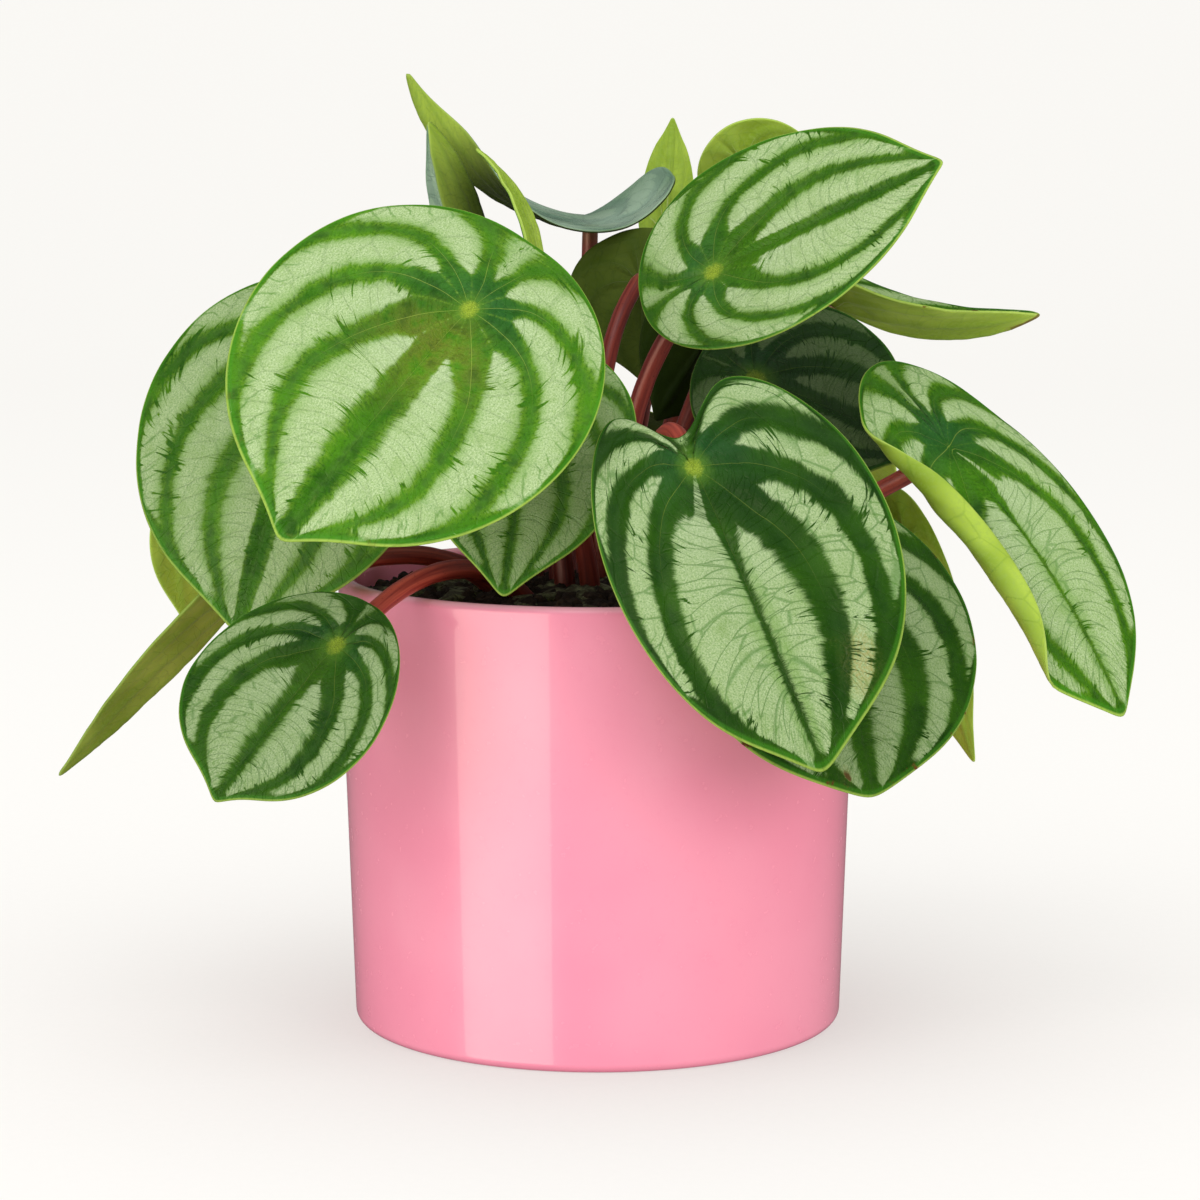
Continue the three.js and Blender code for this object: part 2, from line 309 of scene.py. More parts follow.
def place_in_mm(tree):
    return scaled(object_place(tree), 1 / MM)


def noise(place, scale, detail=2.0, roughness=0.5, out=0):
    return add_node(place.tree, "ShaderNodeTexNoise", out, vector=place, scale=scale, detail=detail,
                    roughness=roughness)


def from_cell_edge(place):
    """Distance to the nearest edge of a net of cells that are about 1 wide."""
    return add_node(place.tree, "ShaderNodeTexVoronoi", "Distance", {"feature": "DISTANCE_TO_EDGE"},
                    vector=place, scale=1.0)


def mixed(tree, first, second, share):
    """A colour between two colours, each a web code or a wire."""
    node = tree.nodes.new("ShaderNodeMix")
    node.data_type = "RGBA"
    sockets = [s for s in node.inputs if s.type == "RGBA"]
    put(tree, share, node.inputs[0])
    for value, socket in zip((first, second), sockets):
        put(tree, colour(value) if isinstance(value, str) else value, socket)
    return Wire(tree, [s for s in node.outputs if s.type == "RGBA"][0])


def layered(tree, base, *layers):
    """A base colour under layers that go on one after the other, each a colour and its share."""
    for layer, share in layers:
        base = mixed(tree, base, layer, share)
    return base


def bumped(tree, height, strength, distance):
    return add_node(tree, "ShaderNodeBump", strength=strength, distance=distance, height=height)


def new_material(name):
    material = bpy.data.materials.new(name)
    material.use_nodes = True
    return material, material.node_tree, material.node_tree.nodes["Principled BSDF"]


def fill_in(tree, shader, values):
    """Sends wires or plain values to a shader's inputs by their names."""
    for name, value in values.items():
        put(tree, value, shader.inputs[name])


# %% [markdown]
# ### The pattern of bands and veins
#
# Dark bands follow the veins with ragged, hairy edges, and silver fills the spaces between them.
# Bands of a Wave texture would be straight, so each band is measured from the vein field: close to
# a vein is band, halfway to the next is silver, and noise that is stretched along the vein frays
# the line between them.

# %% The leaf pattern
SPOT_RADIUS = 2.4 * MM
SPOT_OVAL = (0.85, 1.15)
SPOT_GRAIN = 3.2 * MM
VEIN_LINE = 0.22 * MM
NET_WIDTH = 0.045
MARGIN_CELLS = 62

# Widths of the dark bands, where 1 is halfway to the next vein.
BAND_WIDTH = 0.36
BAND_ROUND_SPOT = 0.75
BAND_AT_RIM = 0.6
BAND_FADE = 0.085

# How far hairs, broad lobes and long spurs reach past the mean edge of a band.
HAIR_REACH = 0.42
LOBE_REACH = 0.40
SPUR_REACH = 0.5
SPUR_THINNESS = 46.0

# How closely they follow each other along a vein.
HAIRS_ALONG = 85.0
LOBES_ALONG = 8.0
SPURS_ALONG = 7.5
SPUR_GROUPS_ALONG = 3.2
RUNGS_ALONG = 6.5


def leaf_pattern():
    """Masks that both sides of a leaf share, from the leaf's own attributes."""
    inputs = {"Disc": VECTOR, "Vein": VECTOR, "Flat": VECTOR, "Seed": NUMBER, "Midrib": NUMBER,
              "Breadth": NUMBER}
    masks = ("Silver", "Fringe", "Line", "Net", "Margin net", "Spot", "Halo", "Edge", "Off vein")
    group, given, leaving = new_tree("leaf pattern", "ShaderNodeTree", inputs,
                                     dict.fromkeys(masks, NUMBER))
    seed = given["Seed"]
    x, y, plain_share = parts(given["Disc"])
    share, reach, side = parts(given["Vein"])
    flow = along_veins(x, y)

    # Which vein a place belongs to, swaying a little, and how far off that vein it is.
    base_number = vein_number(share)
    sway = noise(vector(group, x * 2.0, y * 2.0, seed), 1.0, 1.0) - 0.5
    number = base_number + sway * 0.35 * step(base_number, 0.1, 0.8)
    middle = step(number, 0.5, 0.3)
    apart = between(off_vein(number), smaller(vein_number(plain_share) * 2.0, 1.0), middle)
    panel = number * 0.9 + side * 3.0

    # Fine hairs and a few longer spurs that reach from a band into the silver.
    hair_place = vector(group, flow * HAIRS_ALONG + number * 6.0, number * 3.5 + side * 5.0, seed)
    hair = noise(hair_place, 1.0, 4.0, 0.8)
    lobes = noise(vector(group, flow * LOBES_ALONG, panel, seed + 7.0), 1.0, 2.0, 0.6)
    spur_place = vector(group, flow * SPURS_ALONG + number * 1.2, panel * 0.45, seed + 3.0)
    spur = larger(1.0 - size_of(noise(spur_place, 1.0, 3.0) - 0.5) * SPUR_THINNESS, 0.0)
    groups = noise(vector(group, flow * SPUR_GROUPS_ALONG, panel * 0.6, seed + 11.0), 1.0, 1.0)
    spur = spur * step(groups, 0.42, 0.6)

    # The dark bands widen round the spot and at the rim. The middle one has a width of its own.
    band = between(BAND_WIDTH, given["Midrib"], middle)
    opening = exp(-larger(reach - share * 0.14 - 0.20, 0.0) / BAND_FADE) * BAND_ROUND_SPOT
    rim = step(reach, 0.94, 0.985) * BAND_AT_RIM
    width = band + given["Breadth"] + opening + rim
    ragged = (width + (hair - 0.5) * HAIR_REACH + (lobes - 0.5) * LOBE_REACH
              + spur * SPUR_REACH)

    # Thin cross veins: rungs from band to band, and small cells along the margin.
    rungs = vector(group, flow * RUNGS_ALONG + (hair - 0.5) * 0.12, number * 1.25 + side * 9.0,
                   seed)
    turn = heading(y, x) * (MARGIN_CELLS / (2 * math.pi)) + lobes * 2.2
    margin_net = step(size_of(fraction(turn) - 0.5), 0.38, 0.5) * step(reach, 0.84, 0.9)

    # Thin veins, and the oval spot with a grainy outline.
    flat_x, flat_y, _ = parts(given["Flat"])
    line = apart * length_of(given["Flat"]) * (0.9 - reach * 0.5)
    grain = noise(scaled(given["Flat"], 1 / MM), 0.8, 3.0, 0.7)
    oval = length_of(vector(group, flat_x * SPOT_OVAL[0], flat_y * SPOT_OVAL[1], 0.0))
    oval = oval + (grain - 0.5) * SPOT_GRAIN
    results = (step(apart, ragged - 0.11, ragged + 0.11), step(apart, ragged - 0.34, ragged - 0.02),
               step(line, VEIN_LINE, 0.0) * step(reach, 0.75, 0.25),
               step(from_cell_edge(rungs), NET_WIDTH, 0.0), margin_net,
               step(oval, SPOT_RADIUS * 1.25, SPOT_RADIUS * 0.5),
               step(oval, SPOT_RADIUS * 2.6, SPOT_RADIUS), step(reach, 0.986, 0.996), apart)
    for mask, result in zip(masks, results):
        put(group, result, leaving.inputs[mask])
    return group


pattern_group = leaf_pattern()
print("leaf pattern nodes:", len(pattern_group.nodes))


# %% What each leaf's own look is made of
def leaf_marks(tree):
    """The pattern with this leaf's attributes, its own values, and its flat place in mm."""
    flat, disc, vein = (attribute(tree, name) for name in ("flat", "disc", "vein"))
    yellow, silvering, seed = parts(attribute(tree, "tone"))
    midrib, vivid, cross = parts(attribute(tree, "look"))
    shade, nicks, eye = parts(attribute(tree, "painted shade and wear"))
    # Painted bluish sheen, strength of the painted heart shade, and extra band width.
    bluish, gloom, breadth = parts(attribute(tree, "cast"))
    pattern = tree.nodes.new("ShaderNodeGroup")
    pattern.node_tree = pattern_group
    fill_in(tree, pattern, {"Disc": disc, "Vein": vein, "Flat": flat, "Seed": seed,
                            "Midrib": midrib, "Breadth": breadth})
    marks = {socket.name: Wire(tree, socket) for socket in pattern.outputs}
    marks["Spot"] = marks["Spot"] * eye
    marks["Halo"] = marks["Halo"] * eye
    marks.update(yellow=larger(yellow, 0.0), silvering=silvering, seed=seed, vivid=vivid,
                 cross=cross, shade=shade, nicks=nicks, bluish=bluish, gloom=gloom, disc=disc,
                 reach=parts(vein)[1])
    return marks, scaled(flat, 1 / MM)


# The heart is the plant's middle, where little light comes in and shade is painted. Millimetres.
HEART = (5.0, 35.0, 225.0)
HEART_DEPTH = 0.8
HEART_DARK_RADIUS = 36.0
HEART_OUTER_RADIUS = 68.0
HEART_TOP_FADE = 12.0


def heart_shade(tree):
    """How deep a place lies among the stalks, for painted shade: 1 at the heart, 0 outside it."""
    x, y, z = parts(place_in_mm(tree))
    from_heart = length_of(vector(tree, x - HEART[0], (y - HEART[1]) * HEART_DEPTH, 0.0))
    below_top = step(z, HEART[2] + HEART_TOP_FADE, HEART[2] - HEART_TOP_FADE)
    return step(from_heart, HEART_OUTER_RADIUS, HEART_DARK_RADIUS) * below_top


def worn_and_shaded(tree, green, marks, blotch, speck, pale=1.0):
    """A leaf colour with its tan patch, brown nicks at the edge, and the leaf's painted shade."""
    place_x, place_y, size = parts(attribute(tree, "blemish"))
    x, y, _ = parts(marks["disc"])
    distance = length_of(vector(tree, x - place_x, y - place_y, 0.0)) + (blotch - 0.5) * size
    patch = step(distance, size, size * 0.3) * between(0.12, 1.0, pale)
    nick = step(blotch, 0.60, 0.66) * step(marks["reach"] + (speck - 0.5) * 0.05, 0.965, 0.98)
    return layered(
        tree, green,
        ("#A8985A", patch * step(speck, 0.35, 0.6) * 0.6),
        ("#5E3C18", step(patch, 0.4, 0.75) * marks["nicks"] * 0.9),
        ("#6A4219", nick * marks["nicks"]),
        # Painted shade: the whole leaf darker by its shade value.
        ("#0A1E02", marks["shade"]))


# %% [markdown]
# ### Both sides of a leaf
#
# The upper side is built up like the real one: dark green, the silver film over it, then the thin
# veins, the edge and the spot. The underside is plain and pale. One material could pick its side
# by the face's direction, but two materials stay simple, and each has its own sheen.

# %% The upper side's finish
LEAF_SPECULAR = 0.22


def leaf_upper():
    """Dark bands, silver between, thin veins, edge, spot, blemishes, painted shade and sheen."""
    material, tree, shader = new_material("leaf upper side")
    marks, flat_mm = leaf_marks(tree)
    off_vein_share, vivid = marks["Off vein"], marks["vivid"]
    disc_x = parts(marks["disc"])[0]
    shift = vector(tree, marks["seed"], marks["seed"], 0.0)
    blotch = noise(joined(scaled(flat_mm, 0.16), shift), 1.0, 3.0, 0.6)
    speck = noise(flat_mm, 1.3, 3.0, 0.75)
    fine = noise(flat_mm, 2.3, 3.0, 0.85)
    broad = step(noise(joined(scaled(flat_mm, 0.045), shift), 1.0), 0.3, 0.7)
    near_spot = step(marks["reach"], 0.62, 0.1)
    olive = marks["yellow"] * near_spot * step(disc_x, -0.1, 0.2) * step(blotch, 0.3, 0.6)

    # Greyer along a vein, bluish behind the spot, olive before it, brighter where silver begins.
    band = layered(
        tree, mixed(tree, "#123402", "#265004", broad),
        (mixed(tree, "#2C6202", "#48820A", broad), vivid * step(speck, 0.15, 0.55)),
        (mixed(tree, "#264A12", "#4A7824", vivid),
         step(off_vein_share, 0.30, 0.0) * step(blotch, 0.35, 0.6) * 0.6),
        ("#245A38", near_spot * step(disc_x, 0.15, -0.25) * 0.45),
        (mixed(tree, "#5E6E14", "#8E8C34", step(fine, 0.3, 0.7)), olive * 0.7),
        ("#123A02", step(blotch, 0.45, 0.72) * 0.6),
        ("#6F9622", marks["Fringe"] * step(speck, 0.3, 0.6) * vivid * 0.6))

    # The silver is a film of air under the skin, so it is grainy and lets green through.
    silver = layered(
        tree, "#5C8438",
        ("#BCCF9C", step(fine, 0.24, 0.66)),
        ("#86A854", step(speck, 0.45, 0.75) * 0.55),
        ("#7E9F52", step(blotch, 0.45, 0.8) * 0.5),
        ("#6F9A3E", step(off_vein_share, 0.8, 0.35) * 0.5),
        ("#B4C4A0", near_spot * 0.3),
        ("#5C8740", marks["Net"] * marks["cross"]),
        ("#4C7E22", marks["Margin net"] * 0.6))
    green = layered(
        tree, band,
        (silver, marks["Silver"] * marks["silvering"] * (1.0 - step(speck, 0.58, 0.78) * 0.45)),
        ("#A6BE50", marks["Line"] * (0.45 + marks["yellow"] * 0.4)),
        ("#3F8618", step(marks["reach"], 0.965, 0.98) * 0.5),
        ("#9CBB4C", marks["Edge"]),
        ("#5F8C26", marks["Halo"] * 0.5),
        (mixed(tree, "#A4BC3A", "#6E8822", step(fine, 0.35, 0.65)), marks["Spot"]),
        # Painted bluish sheen, as strong as the leaf's bluish value.
        (mixed(tree, "#6E907A", "#A6BEAC", broad), marks["bluish"]))
    pillow = speck * 0.5 + fine * 0.5 - marks["Net"] * 0.6 - marks["Line"] * 0.9 + blotch * 0.7
    fill_in(tree, shader, {
        "Base Color": worn_and_shaded(tree, green, marks, blotch, speck, marks["Silver"]),
        "Roughness": 0.25 + (speck - 0.5) * 0.2 + marks["Silver"] * 0.08,
        "Specular IOR Level": LEAF_SPECULAR,
        "Normal": bumped(tree, pillow, 0.6, 0.4 * MM)})
    return material


# %% The underside's finish
def leaf_lower():
    """Plain yellow-green, veins showing through, painted shade in the plant's heart."""
    material, tree, shader = new_material("leaf underside")
    marks, flat_mm = leaf_marks(tree)
    shift = vector(tree, marks["seed"], 0.0, marks["seed"])
    broad = noise(joined(scaled(flat_mm, 0.06), shift), 1.0)
    blotch = noise(joined(scaled(flat_mm, 0.16), shift), 1.0, 3.0, 0.6)
    speck = noise(flat_mm, 1.0, 3.0, 0.7)
    green = layered(
        tree, "#84A02C",
        ("#A9C24A", step(broad, 0.3, 0.7)),
        ("#6F9030", step(marks["Off vein"], 0.5, 0.1) * 0.3),
        ("#94AE50", step(speck, 0.4, 0.7) * 0.5),
        ("#BCCB84", marks["Line"] * 0.7),
        ("#678C2C", marks["Net"] * 0.25),
        ("#A9C25A", marks["Edge"]),
        # Painted shade in the plant's heart, as strong as the leaf's gloom value.
        ("#0A1802", heart_shade(tree) * marks["gloom"] * 0.9))
    ribs = marks["Line"] * 0.9 + marks["Net"] * 0.25 + speck * 0.2
    fill_in(tree, shader, {
        "Base Color": worn_and_shaded(tree, green, marks, blotch, speck),
        "Roughness": 0.42, "Specular IOR Level": LEAF_SPECULAR * 0.3,
        "Normal": bumped(tree, ribs, 0.5, 0.4 * MM)})
    return material


upper_material = leaf_upper()
lower_material = leaf_lower()


# %% [markdown]
# ### The red stalks
#
# The stalks are wine red with fine streaks that run along them. Noise on plain coordinates would
# make blotches, so the streaks are read from the stalk's own attributes: along it and round it.

# %% The stalk's finish
def stalk_finish():
    """Wine red, paler and more orange where it meets the leaf, with fine lengthwise streaks."""
    material, tree, shader = new_material("red stalk")
    along = parts(attribute(tree, "along"))[0]
    seed = parts(attribute(tree, "seed"))[0]
    around_x, around_y, _ = parts(attribute(tree, "around"))
    streaks = noise(vector(tree, around_x * 2.5, around_y * 2.5, along * 3.0 + seed), 1.0, 3.0, 0.6)
    specks = noise(place_in_mm(tree), 1.3)
    red = layered(
        tree, "#7A221C",
        ("#B04A38", step(streaks, 0.3, 0.72)),
        ("#5A1518", step(specks, 0.62, 0.74) * 0.5),
        ("#A5753F", step(along, 0.93, 1.0) * 0.7),
        # Painted shade: darker towards the soil, and in the plant's heart.
        ("#2A0708", larger(step(along, 0.55, 0.0) * 0.7, heart_shade(tree) * 0.4)))
    fill_in(tree, shader, {"Base Color": red, "Roughness": 0.36,
                           "Normal": bumped(tree, streaks, 0.25, 0.3 * MM)})
    return material


stalk_material = stalk_finish()

# %% [markdown]
# ## The leaves
#
# One row says how one leaf is held: where its spot and tip are, which way it looks, how wide it is
# and how its halves fold, curl or roll. A leaf could be sculpted by hand, but all of them are one
# shape held in different ways, so Geometry Nodes bend one flat blade by the row's numbers. Rings
# run from the spot to the edge and rays run round them, which puts the vein field and the mesh in
# the same places.
#
# Lengths are millimetres, angles are degrees, and pairs are the two halves of a blade.
#
# - spot, tip: their places; faces: the way the blade looks; back: the blade's length behind the
#   spot
# - half: the widths of the halves; point, spread: how long and how broad the drawn-out tip is
# - egg: how much wider the back is than the front; notch, notch_spread: the cleft of a heart shape
# - fold: how far the halves stand up at the midrib, furl: more of that towards the tip, nape:
#   behind the spot; curl: an even bow of the halves; roll: a tight one of their outer parts
# - bend, swing, lift: the midrib's bow down, its bow sideways, and how far the back stands up
# - root: the stalk's foot, as a distance and a heading; bow: the two points that pull on its path
# - tone: yellowness and silver; look: width of the middle band, liveliness of the green, cross
#   veins
# - crowd: how the veins crowd towards the tip; pleats, ripple: depth of the relief and of the
#   waved edge
# - shade, nicks, eye, bluish, gloom, breadth: depth of painted shade, brown nicks, strength of
#   the spot, painted bluish sheen, strength of the painted shade on the underside in the plant's
#   heart, and extra width of all bands
# - blemish: place and size of a tan patch, on a disc that is 1 at the leaf's edge

# %% The rows of the leaf table
LEAVES = [
    dict(name="front_left_large", spot=(-31, -58, 189), tip=(-75, -86, 136), faces=(-1, -10, 4),
         back=26, half=(44, 46), point=6, spread=0.25, egg=0.04, fold=(6, 6), curl=(-18, -18),
         bend=20, root=(14, -125), bow=((-12, -6, 170), (-26, -20, 204)), tone=(1.0, 1.0),
         look=(0.62, 1.0, 0.2), nicks=0.2, blemish=(0.84, 0.03, 0.035)),
    dict(name="left_large", spot=(-70, -18, 176), tip=(-90, -40, 107), faces=(-2, -8, 2),
         back=22, half=(38, 43), point=6, spread=0.3, egg=0.05, fold=(5, 5), curl=(-20, -20),
         bend=20, root=(24, -172), bow=((-30, 0, 170), (-60, -4, 180)), tone=(0.1, 0.95),
         look=(0.6, 0.9, 0.2), crowd=(0.9, 0.8), shade=0.18),
    dict(name="front_left_small", spot=(-63, -72, 109), tip=(-91, -90, 74), faces=(-2, -8, 5),
         back=14, half=(24, 28), point=4, spread=0.22, egg=-0.12, fold=(4, 4), curl=(-15, -15),
         bend=15, root=(26, -128), bow=((-28, -34, 130), (-48, -52, 126)), tone=(0.1, 0.95),
         look=(0.3, 0.35, 0.6), crowd=(1.1, 1.1), pleats=0.6, shade=0.3, breadth=0.12),
    dict(name="far_left_folded", spot=(-89, -14, 115), tip=(-138, -24, 68), faces=(-12, 1, 10),
         back=16, half=(20, 20), point=8, fold=(24, 24), bend=-10, root=(25, -150),
         bow=((-40, -22, 134), (-64, -34, 124)), tone=(0.2, 0.9), shade=0.35),
    dict(name="left_small", spot=(-95, 25, 133), tip=(-109, 25, 97), faces=(-3, 7, 3),
         back=12, half=(22, 22), point=5, fold=(5, 5), bend=10, root=(25, 165),
         bow=((-34, 10, 150), (-74, 10, 150)), tone=(0.3, 0.9)),
    dict(name="front_middle", spot=(-16, -38, 165), tip=(-23, -60, 119), faces=(-1, -16, 8),
         back=18, half=(27, 27), point=6, egg=0.12, fold=(5, 5), curl=(-10, -10), bend=15,
         root=(15, -95), bow=((-4, -16, 140), (-12, -26, 154)), tone=(0.2, 0.75),
         look=(0.4, 0.7, 0.4)),
    dict(name="upper_right", spot=(29, -15, 196), tip=(85, -35, 224), faces=(0, -7, 5),
         back=21, half=(30, 25), point=6, spread=0.3, egg=0.12, fold=(4, 4), curl=(-10, -10),
         root=(10, -40), bow=((2, -6, 152), (14, 0, 180)), tone=(0.1, 1.0),
         look=(0.5, 0.6, 0.3), crowd=(0.9, 1.35), shade=0.05),
    dict(name="upper_right_behind", spot=(40, 45, 222), tip=(64, 60, 201), faces=(-2, 8, 4),
         back=13, half=(16, 16), point=5, root=(20, 65), bow=((16, 46, 150), (38, 50, 196)),
         tone=(0.4, 0.9), gloom=0.2),
    dict(name="front_heart", spot=(23, -72, 152), tip=(53, -100, 83), faces=(1, -9, 2),
         back=27, half=(40, 30), point=6, egg=0, notch=18, notch_spread=0.3, fold=(6, 6),
         curl=(-20, -20), bend=25, root=(22, -70), bow=((12, -28, 150), (17, -50, 172)),
         tone=(0.0, 0.95), look=(0.04, 0.1, 0.7), crowd=(0.9, 1.7), pleats=1.0, shade=0.15,
         breadth=0.16, blemish=(0.76, 0.46, 0.16)),
    dict(name="front_right_low", spot=(52, -58, 127), tip=(66, -80, 73), faces=(4, -8, 3),
         back=22, half=(42, 44), point=3, spread=0.4, egg=0, fold=(5, 5), curl=(-22, -6),
         bend=24, root=(24, -40), bow=((28, -22, 146), (44, -38, 140)), tone=(0.1, 0.8),
         look=(0.4, 0.2, 0.6), pleats=0.8, shade=0.22, nicks=1.0, breadth=0.1,
         blemish=(0.92, -0.22, 0.07)),
    dict(name="right_large", spot=(89, -24, 152.5), tip=(131.7, -42, 86.3), faces=(3, -7, 4),
         back=30, half=(24, 26), point=6, egg=-0.12, curl=(-20, 0), roll=(0, 230), bend=24,
         swing=2, root=(25, -18), bow=((44, -15, 128), (77, -15, 141)), tone=(0.0, 0.88),
         look=(0.1, 0.75, 0.6), crowd=(1.4, 1.0), pleats=0.8, eye=0.0, breadth=0.08),
    dict(name="right_middle", spot=(41, 2, 168), tip=(84, -6, 149), faces=(1, -7, 5),
         back=16, half=(29, 28), point=7, egg=0.05, fold=(5, 5), curl=(-10, -10), bend=10,
         root=(18, 10), bow=((26, 10, 140), (38, 14, 158)), tone=(0.0, 0.4),
         look=(0.5, 0.1, 0.3), shade=0.55, breadth=0.1),
    dict(name="right_reaching", spot=(64, 36, 185), tip=(117, 26, 183), faces=(0, 0, 1),
         back=18, half=(20, 20), point=1, spread=0.5, fold=(25, 28), bend=-60, root=(22, 35),
         bow=((34, 30, 150), (58, 36, 168)), tone=(0.4, 0.8), look=(0.5, 0.4, 0.4), nicks=0.8,
         blemish=(0.97, 0.0, 0.2)),
    dict(name="top_saddle", spot=(-2, 52, 205.8), tip=(-51, 46, 246), faces=(8, -1.6, 30),
         back=27, half=(16, 19), point=12, egg=-0.02, fold=(0, 2), furl=(110, 60),
         nape=(-4, 48), bend=-75, lift=8, root=(14, 110), bow=((-6, 44, 150), (-2, 52, 190)),
         tone=(0.0, 1.0), look=(0.3, 0.3, 0.4), shade=0.22, bluish=0.8),
    dict(name="top_left_folded", spot=(-29, 14, 197), tip=(-44.5, 20, 233), faces=(-9, 0, -3),
         back=10, half=(15, 13), point=2, spread=0.5, fold=(60, 40), bend=-40, root=(19, 150),
         bow=((-20, 16, 150), (-18, 22, 185)), tone=(0.1, 1.0), look=(0.3, 0.2, 0.4),
         shade=0.15, bluish=0.7),
    dict(name="top_left_crescent", spot=(-16.5, 9, 196), tip=(-32, 15, 226),
         faces=(-9.7, 2.3, 0),
         back=7, half=(8, 8), point=6, egg=0.1, bend=-50, root=(10, 170),
         bow=((-12, 6, 150), (-8, 8, 184)), tone=(0.5, 0.8), gloom=0.0),
    dict(name="top_point", spot=(19, 82, 204), tip=(21, 88, 234), faces=(0, 8, 3),
         back=12, half=(8, 8), point=4, fold=(20, 20), root=(21, 82),
         bow=((12, 46, 156), (18, 68, 184)), tone=(0.6, 0.8), gloom=0.0),
    dict(name="centre_behind", spot=(12, 36, 190), tip=(12, 26, 165), faces=(1, 8, 3),
         back=16, half=(21, 21), point=5, fold=(10, 10), root=(8, 75),
         bow=((-4, 6, 160), (4, 18, 184)), tone=(0.3, 0.9), shade=0.25, gloom=0.85),
    dict(name="centre_small", spot=(30, 18, 179), tip=(15, 8, 156), faces=(1, 8, 3),
         back=14, half=(17, 17), point=5, fold=(10, 10), root=(10, 15),
         bow=((14, 2, 140), (28, 7, 163)), tone=(0.2, 0.9), shade=0.6),
    dict(name="right_hanging", spot=(82, 4, 120), tip=(99, 0, 67), faces=(3, 8, 2),
         back=20, half=(16, 9), point=10, fold=(10, 10), root=(26, -2),
         bow=((46, 0, 142), (72, -5, 136)), tone=(0.5, 0.9)),
    dict(name="back_left", spot=(-45, 60, 165), tip=(-75, 95, 120), faces=(-3, 7, 6),
         back=20, half=(32, 32), point=8, egg=0.1, fold=(5, 5), curl=(-15, -15), bend=25,
         root=(22, 125), bow=((-24, 34, 150), (-38, 44, 158)), tone=(0.2, 0.95)),
    dict(name="back_middle", spot=(-2, 76, 146), tip=(-4, 112, 98), faces=(0, 7, 6),
         back=18, half=(29, 29), point=8, egg=0.1, fold=(5, 5), curl=(-15, -15), bend=25,
         root=(26, 104), bow=((-8, 50, 130), (-2, 62, 136)), tone=(0.1, 0.9)),
    dict(name="back_right", spot=(50, 60, 156), tip=(74, 94, 108), faces=(3, 7, 6),
         back=18, half=(26, 26), point=8, egg=0.1, fold=(5, 5), curl=(-15, -15), bend=25,
         root=(26, 52), bow=((26, 36, 140), (42, 46, 148)), tone=(0.3, 0.95)),
]
DEFAULTS = dict(
    spread=0.35, egg=0.12, notch=0, notch_spread=0.35, fold=(0, 0), curl=(0, 0), roll=(0, 0),
    furl=(0, 0), nape=(0, 0), bend=0, swing=0, lift=0, tone=(0.2, 0.95), look=(0.5, 0.5, 0.5),
    crowd=(1.0, 1.0), pleats=0.5, ripple=1.2, shade=0.0, nicks=0.0, eye=1.0, bluish=0.0, gloom=1.0,
    breadth=0.0, blemish=(0.0, 0.0, 0.0))
for number, row in enumerate(LEAVES):
    LEAVES[number] = {**DEFAULTS, **row, "seed": 3.7 * number + 1.3}
print("leaves:", len(LEAVES))


# %% The blade's own axes
def leaf_axes(leaf):
    """Axes of a leaf at its spot, in the row frame, and its midrib's length from spot to tip."""
    spot = Vector(leaf["spot"]) * MM
    chord = Vector(leaf["tip"]) * MM - spot
    span = chord.length
    chord.normalize()
    up = Vector(leaf["faces"])
    up = (up - chord * up.dot(chord)).normalized()
    side = up.cross(chord)
    half_bend = math.radians(leaf["bend"]) / 2
    along = chord * math.cos(half_bend) + up * math.sin(half_bend)
    length = span * (half_bend / math.sin(half_bend) if half_bend else 1)
    return spot, along, side, along.cross(side), length


# %% Helpers for geometry trees
SHAPE = {"Geometry": GEOMETRY}


def moved(geometry, offset=None, position=None):
    return add_node(geometry.tree, "GeometryNodeSetPosition", geometry=geometry, offset=offset,
                    position=position)


def stored(geometry, name, value, kind="FLOAT_VECTOR", domain="POINT"):
    """Keeps a value on the mesh under a name, where a finish can read it."""
    return add_node(geometry.tree, "GeometryNodeStoreNamedAttribute", 0,
                    {"data_type": kind, "domain": domain}, geometry=geometry, name=name,
                    value=value)


def named(tree, name, kind="FLOAT_VECTOR"):
    """Reads a value that is kept on the mesh."""
    return add_node(tree, "GeometryNodeInputNamedAttribute", 0, {"data_type": kind}, name=name)


def here(tree):
    return add_node(tree, "GeometryNodeInputPosition")


def merged(geometry, distance):
    return add_node(geometry.tree, "GeometryNodeMergeByDistance", geometry=geometry,
                    distance=distance)


def together(*geometries):
    node = geometries[0].tree.nodes.new("GeometryNodeJoinGeometry")
    for geometry in geometries:
        geometry.tree.links.new(geometry.socket, node.inputs[0])
    return Wire(geometries[0].tree, node.outputs[0])


def finished(tree, geometry, leaving, *materials):
    """Ends a tree: real geometry, smooth shading, the finish, and a second one where lower is 1."""
    geometry = add_node(tree, "GeometryNodeRealizeInstances", geometry=geometry)
    geometry = add_node(tree, "GeometryNodeSetShadeSmooth", geometry=geometry)
    geometry = add_node(tree, "GeometryNodeSetMaterial", geometry=geometry, material=materials[0])
    if len(materials) > 1:
        lower = above(named(tree, "lower", "FLOAT"), 0.5)
        geometry = add_node(tree, "GeometryNodeSetMaterial", geometry=geometry,
                            material=materials[1], selection=lower)
    put(tree, geometry, leaving.inputs[0])


# %% [markdown]
# ### From a flat sheet to a held leaf
#
# A grid becomes a disc of rays and rings, the disc gets the leaf's outline, and the outline is
# bent in space. Chained Simple Deform modifiers could bend it, but they pull at the outline. Arcs
# keep every length on the blade, as a real leaf does when it curls.

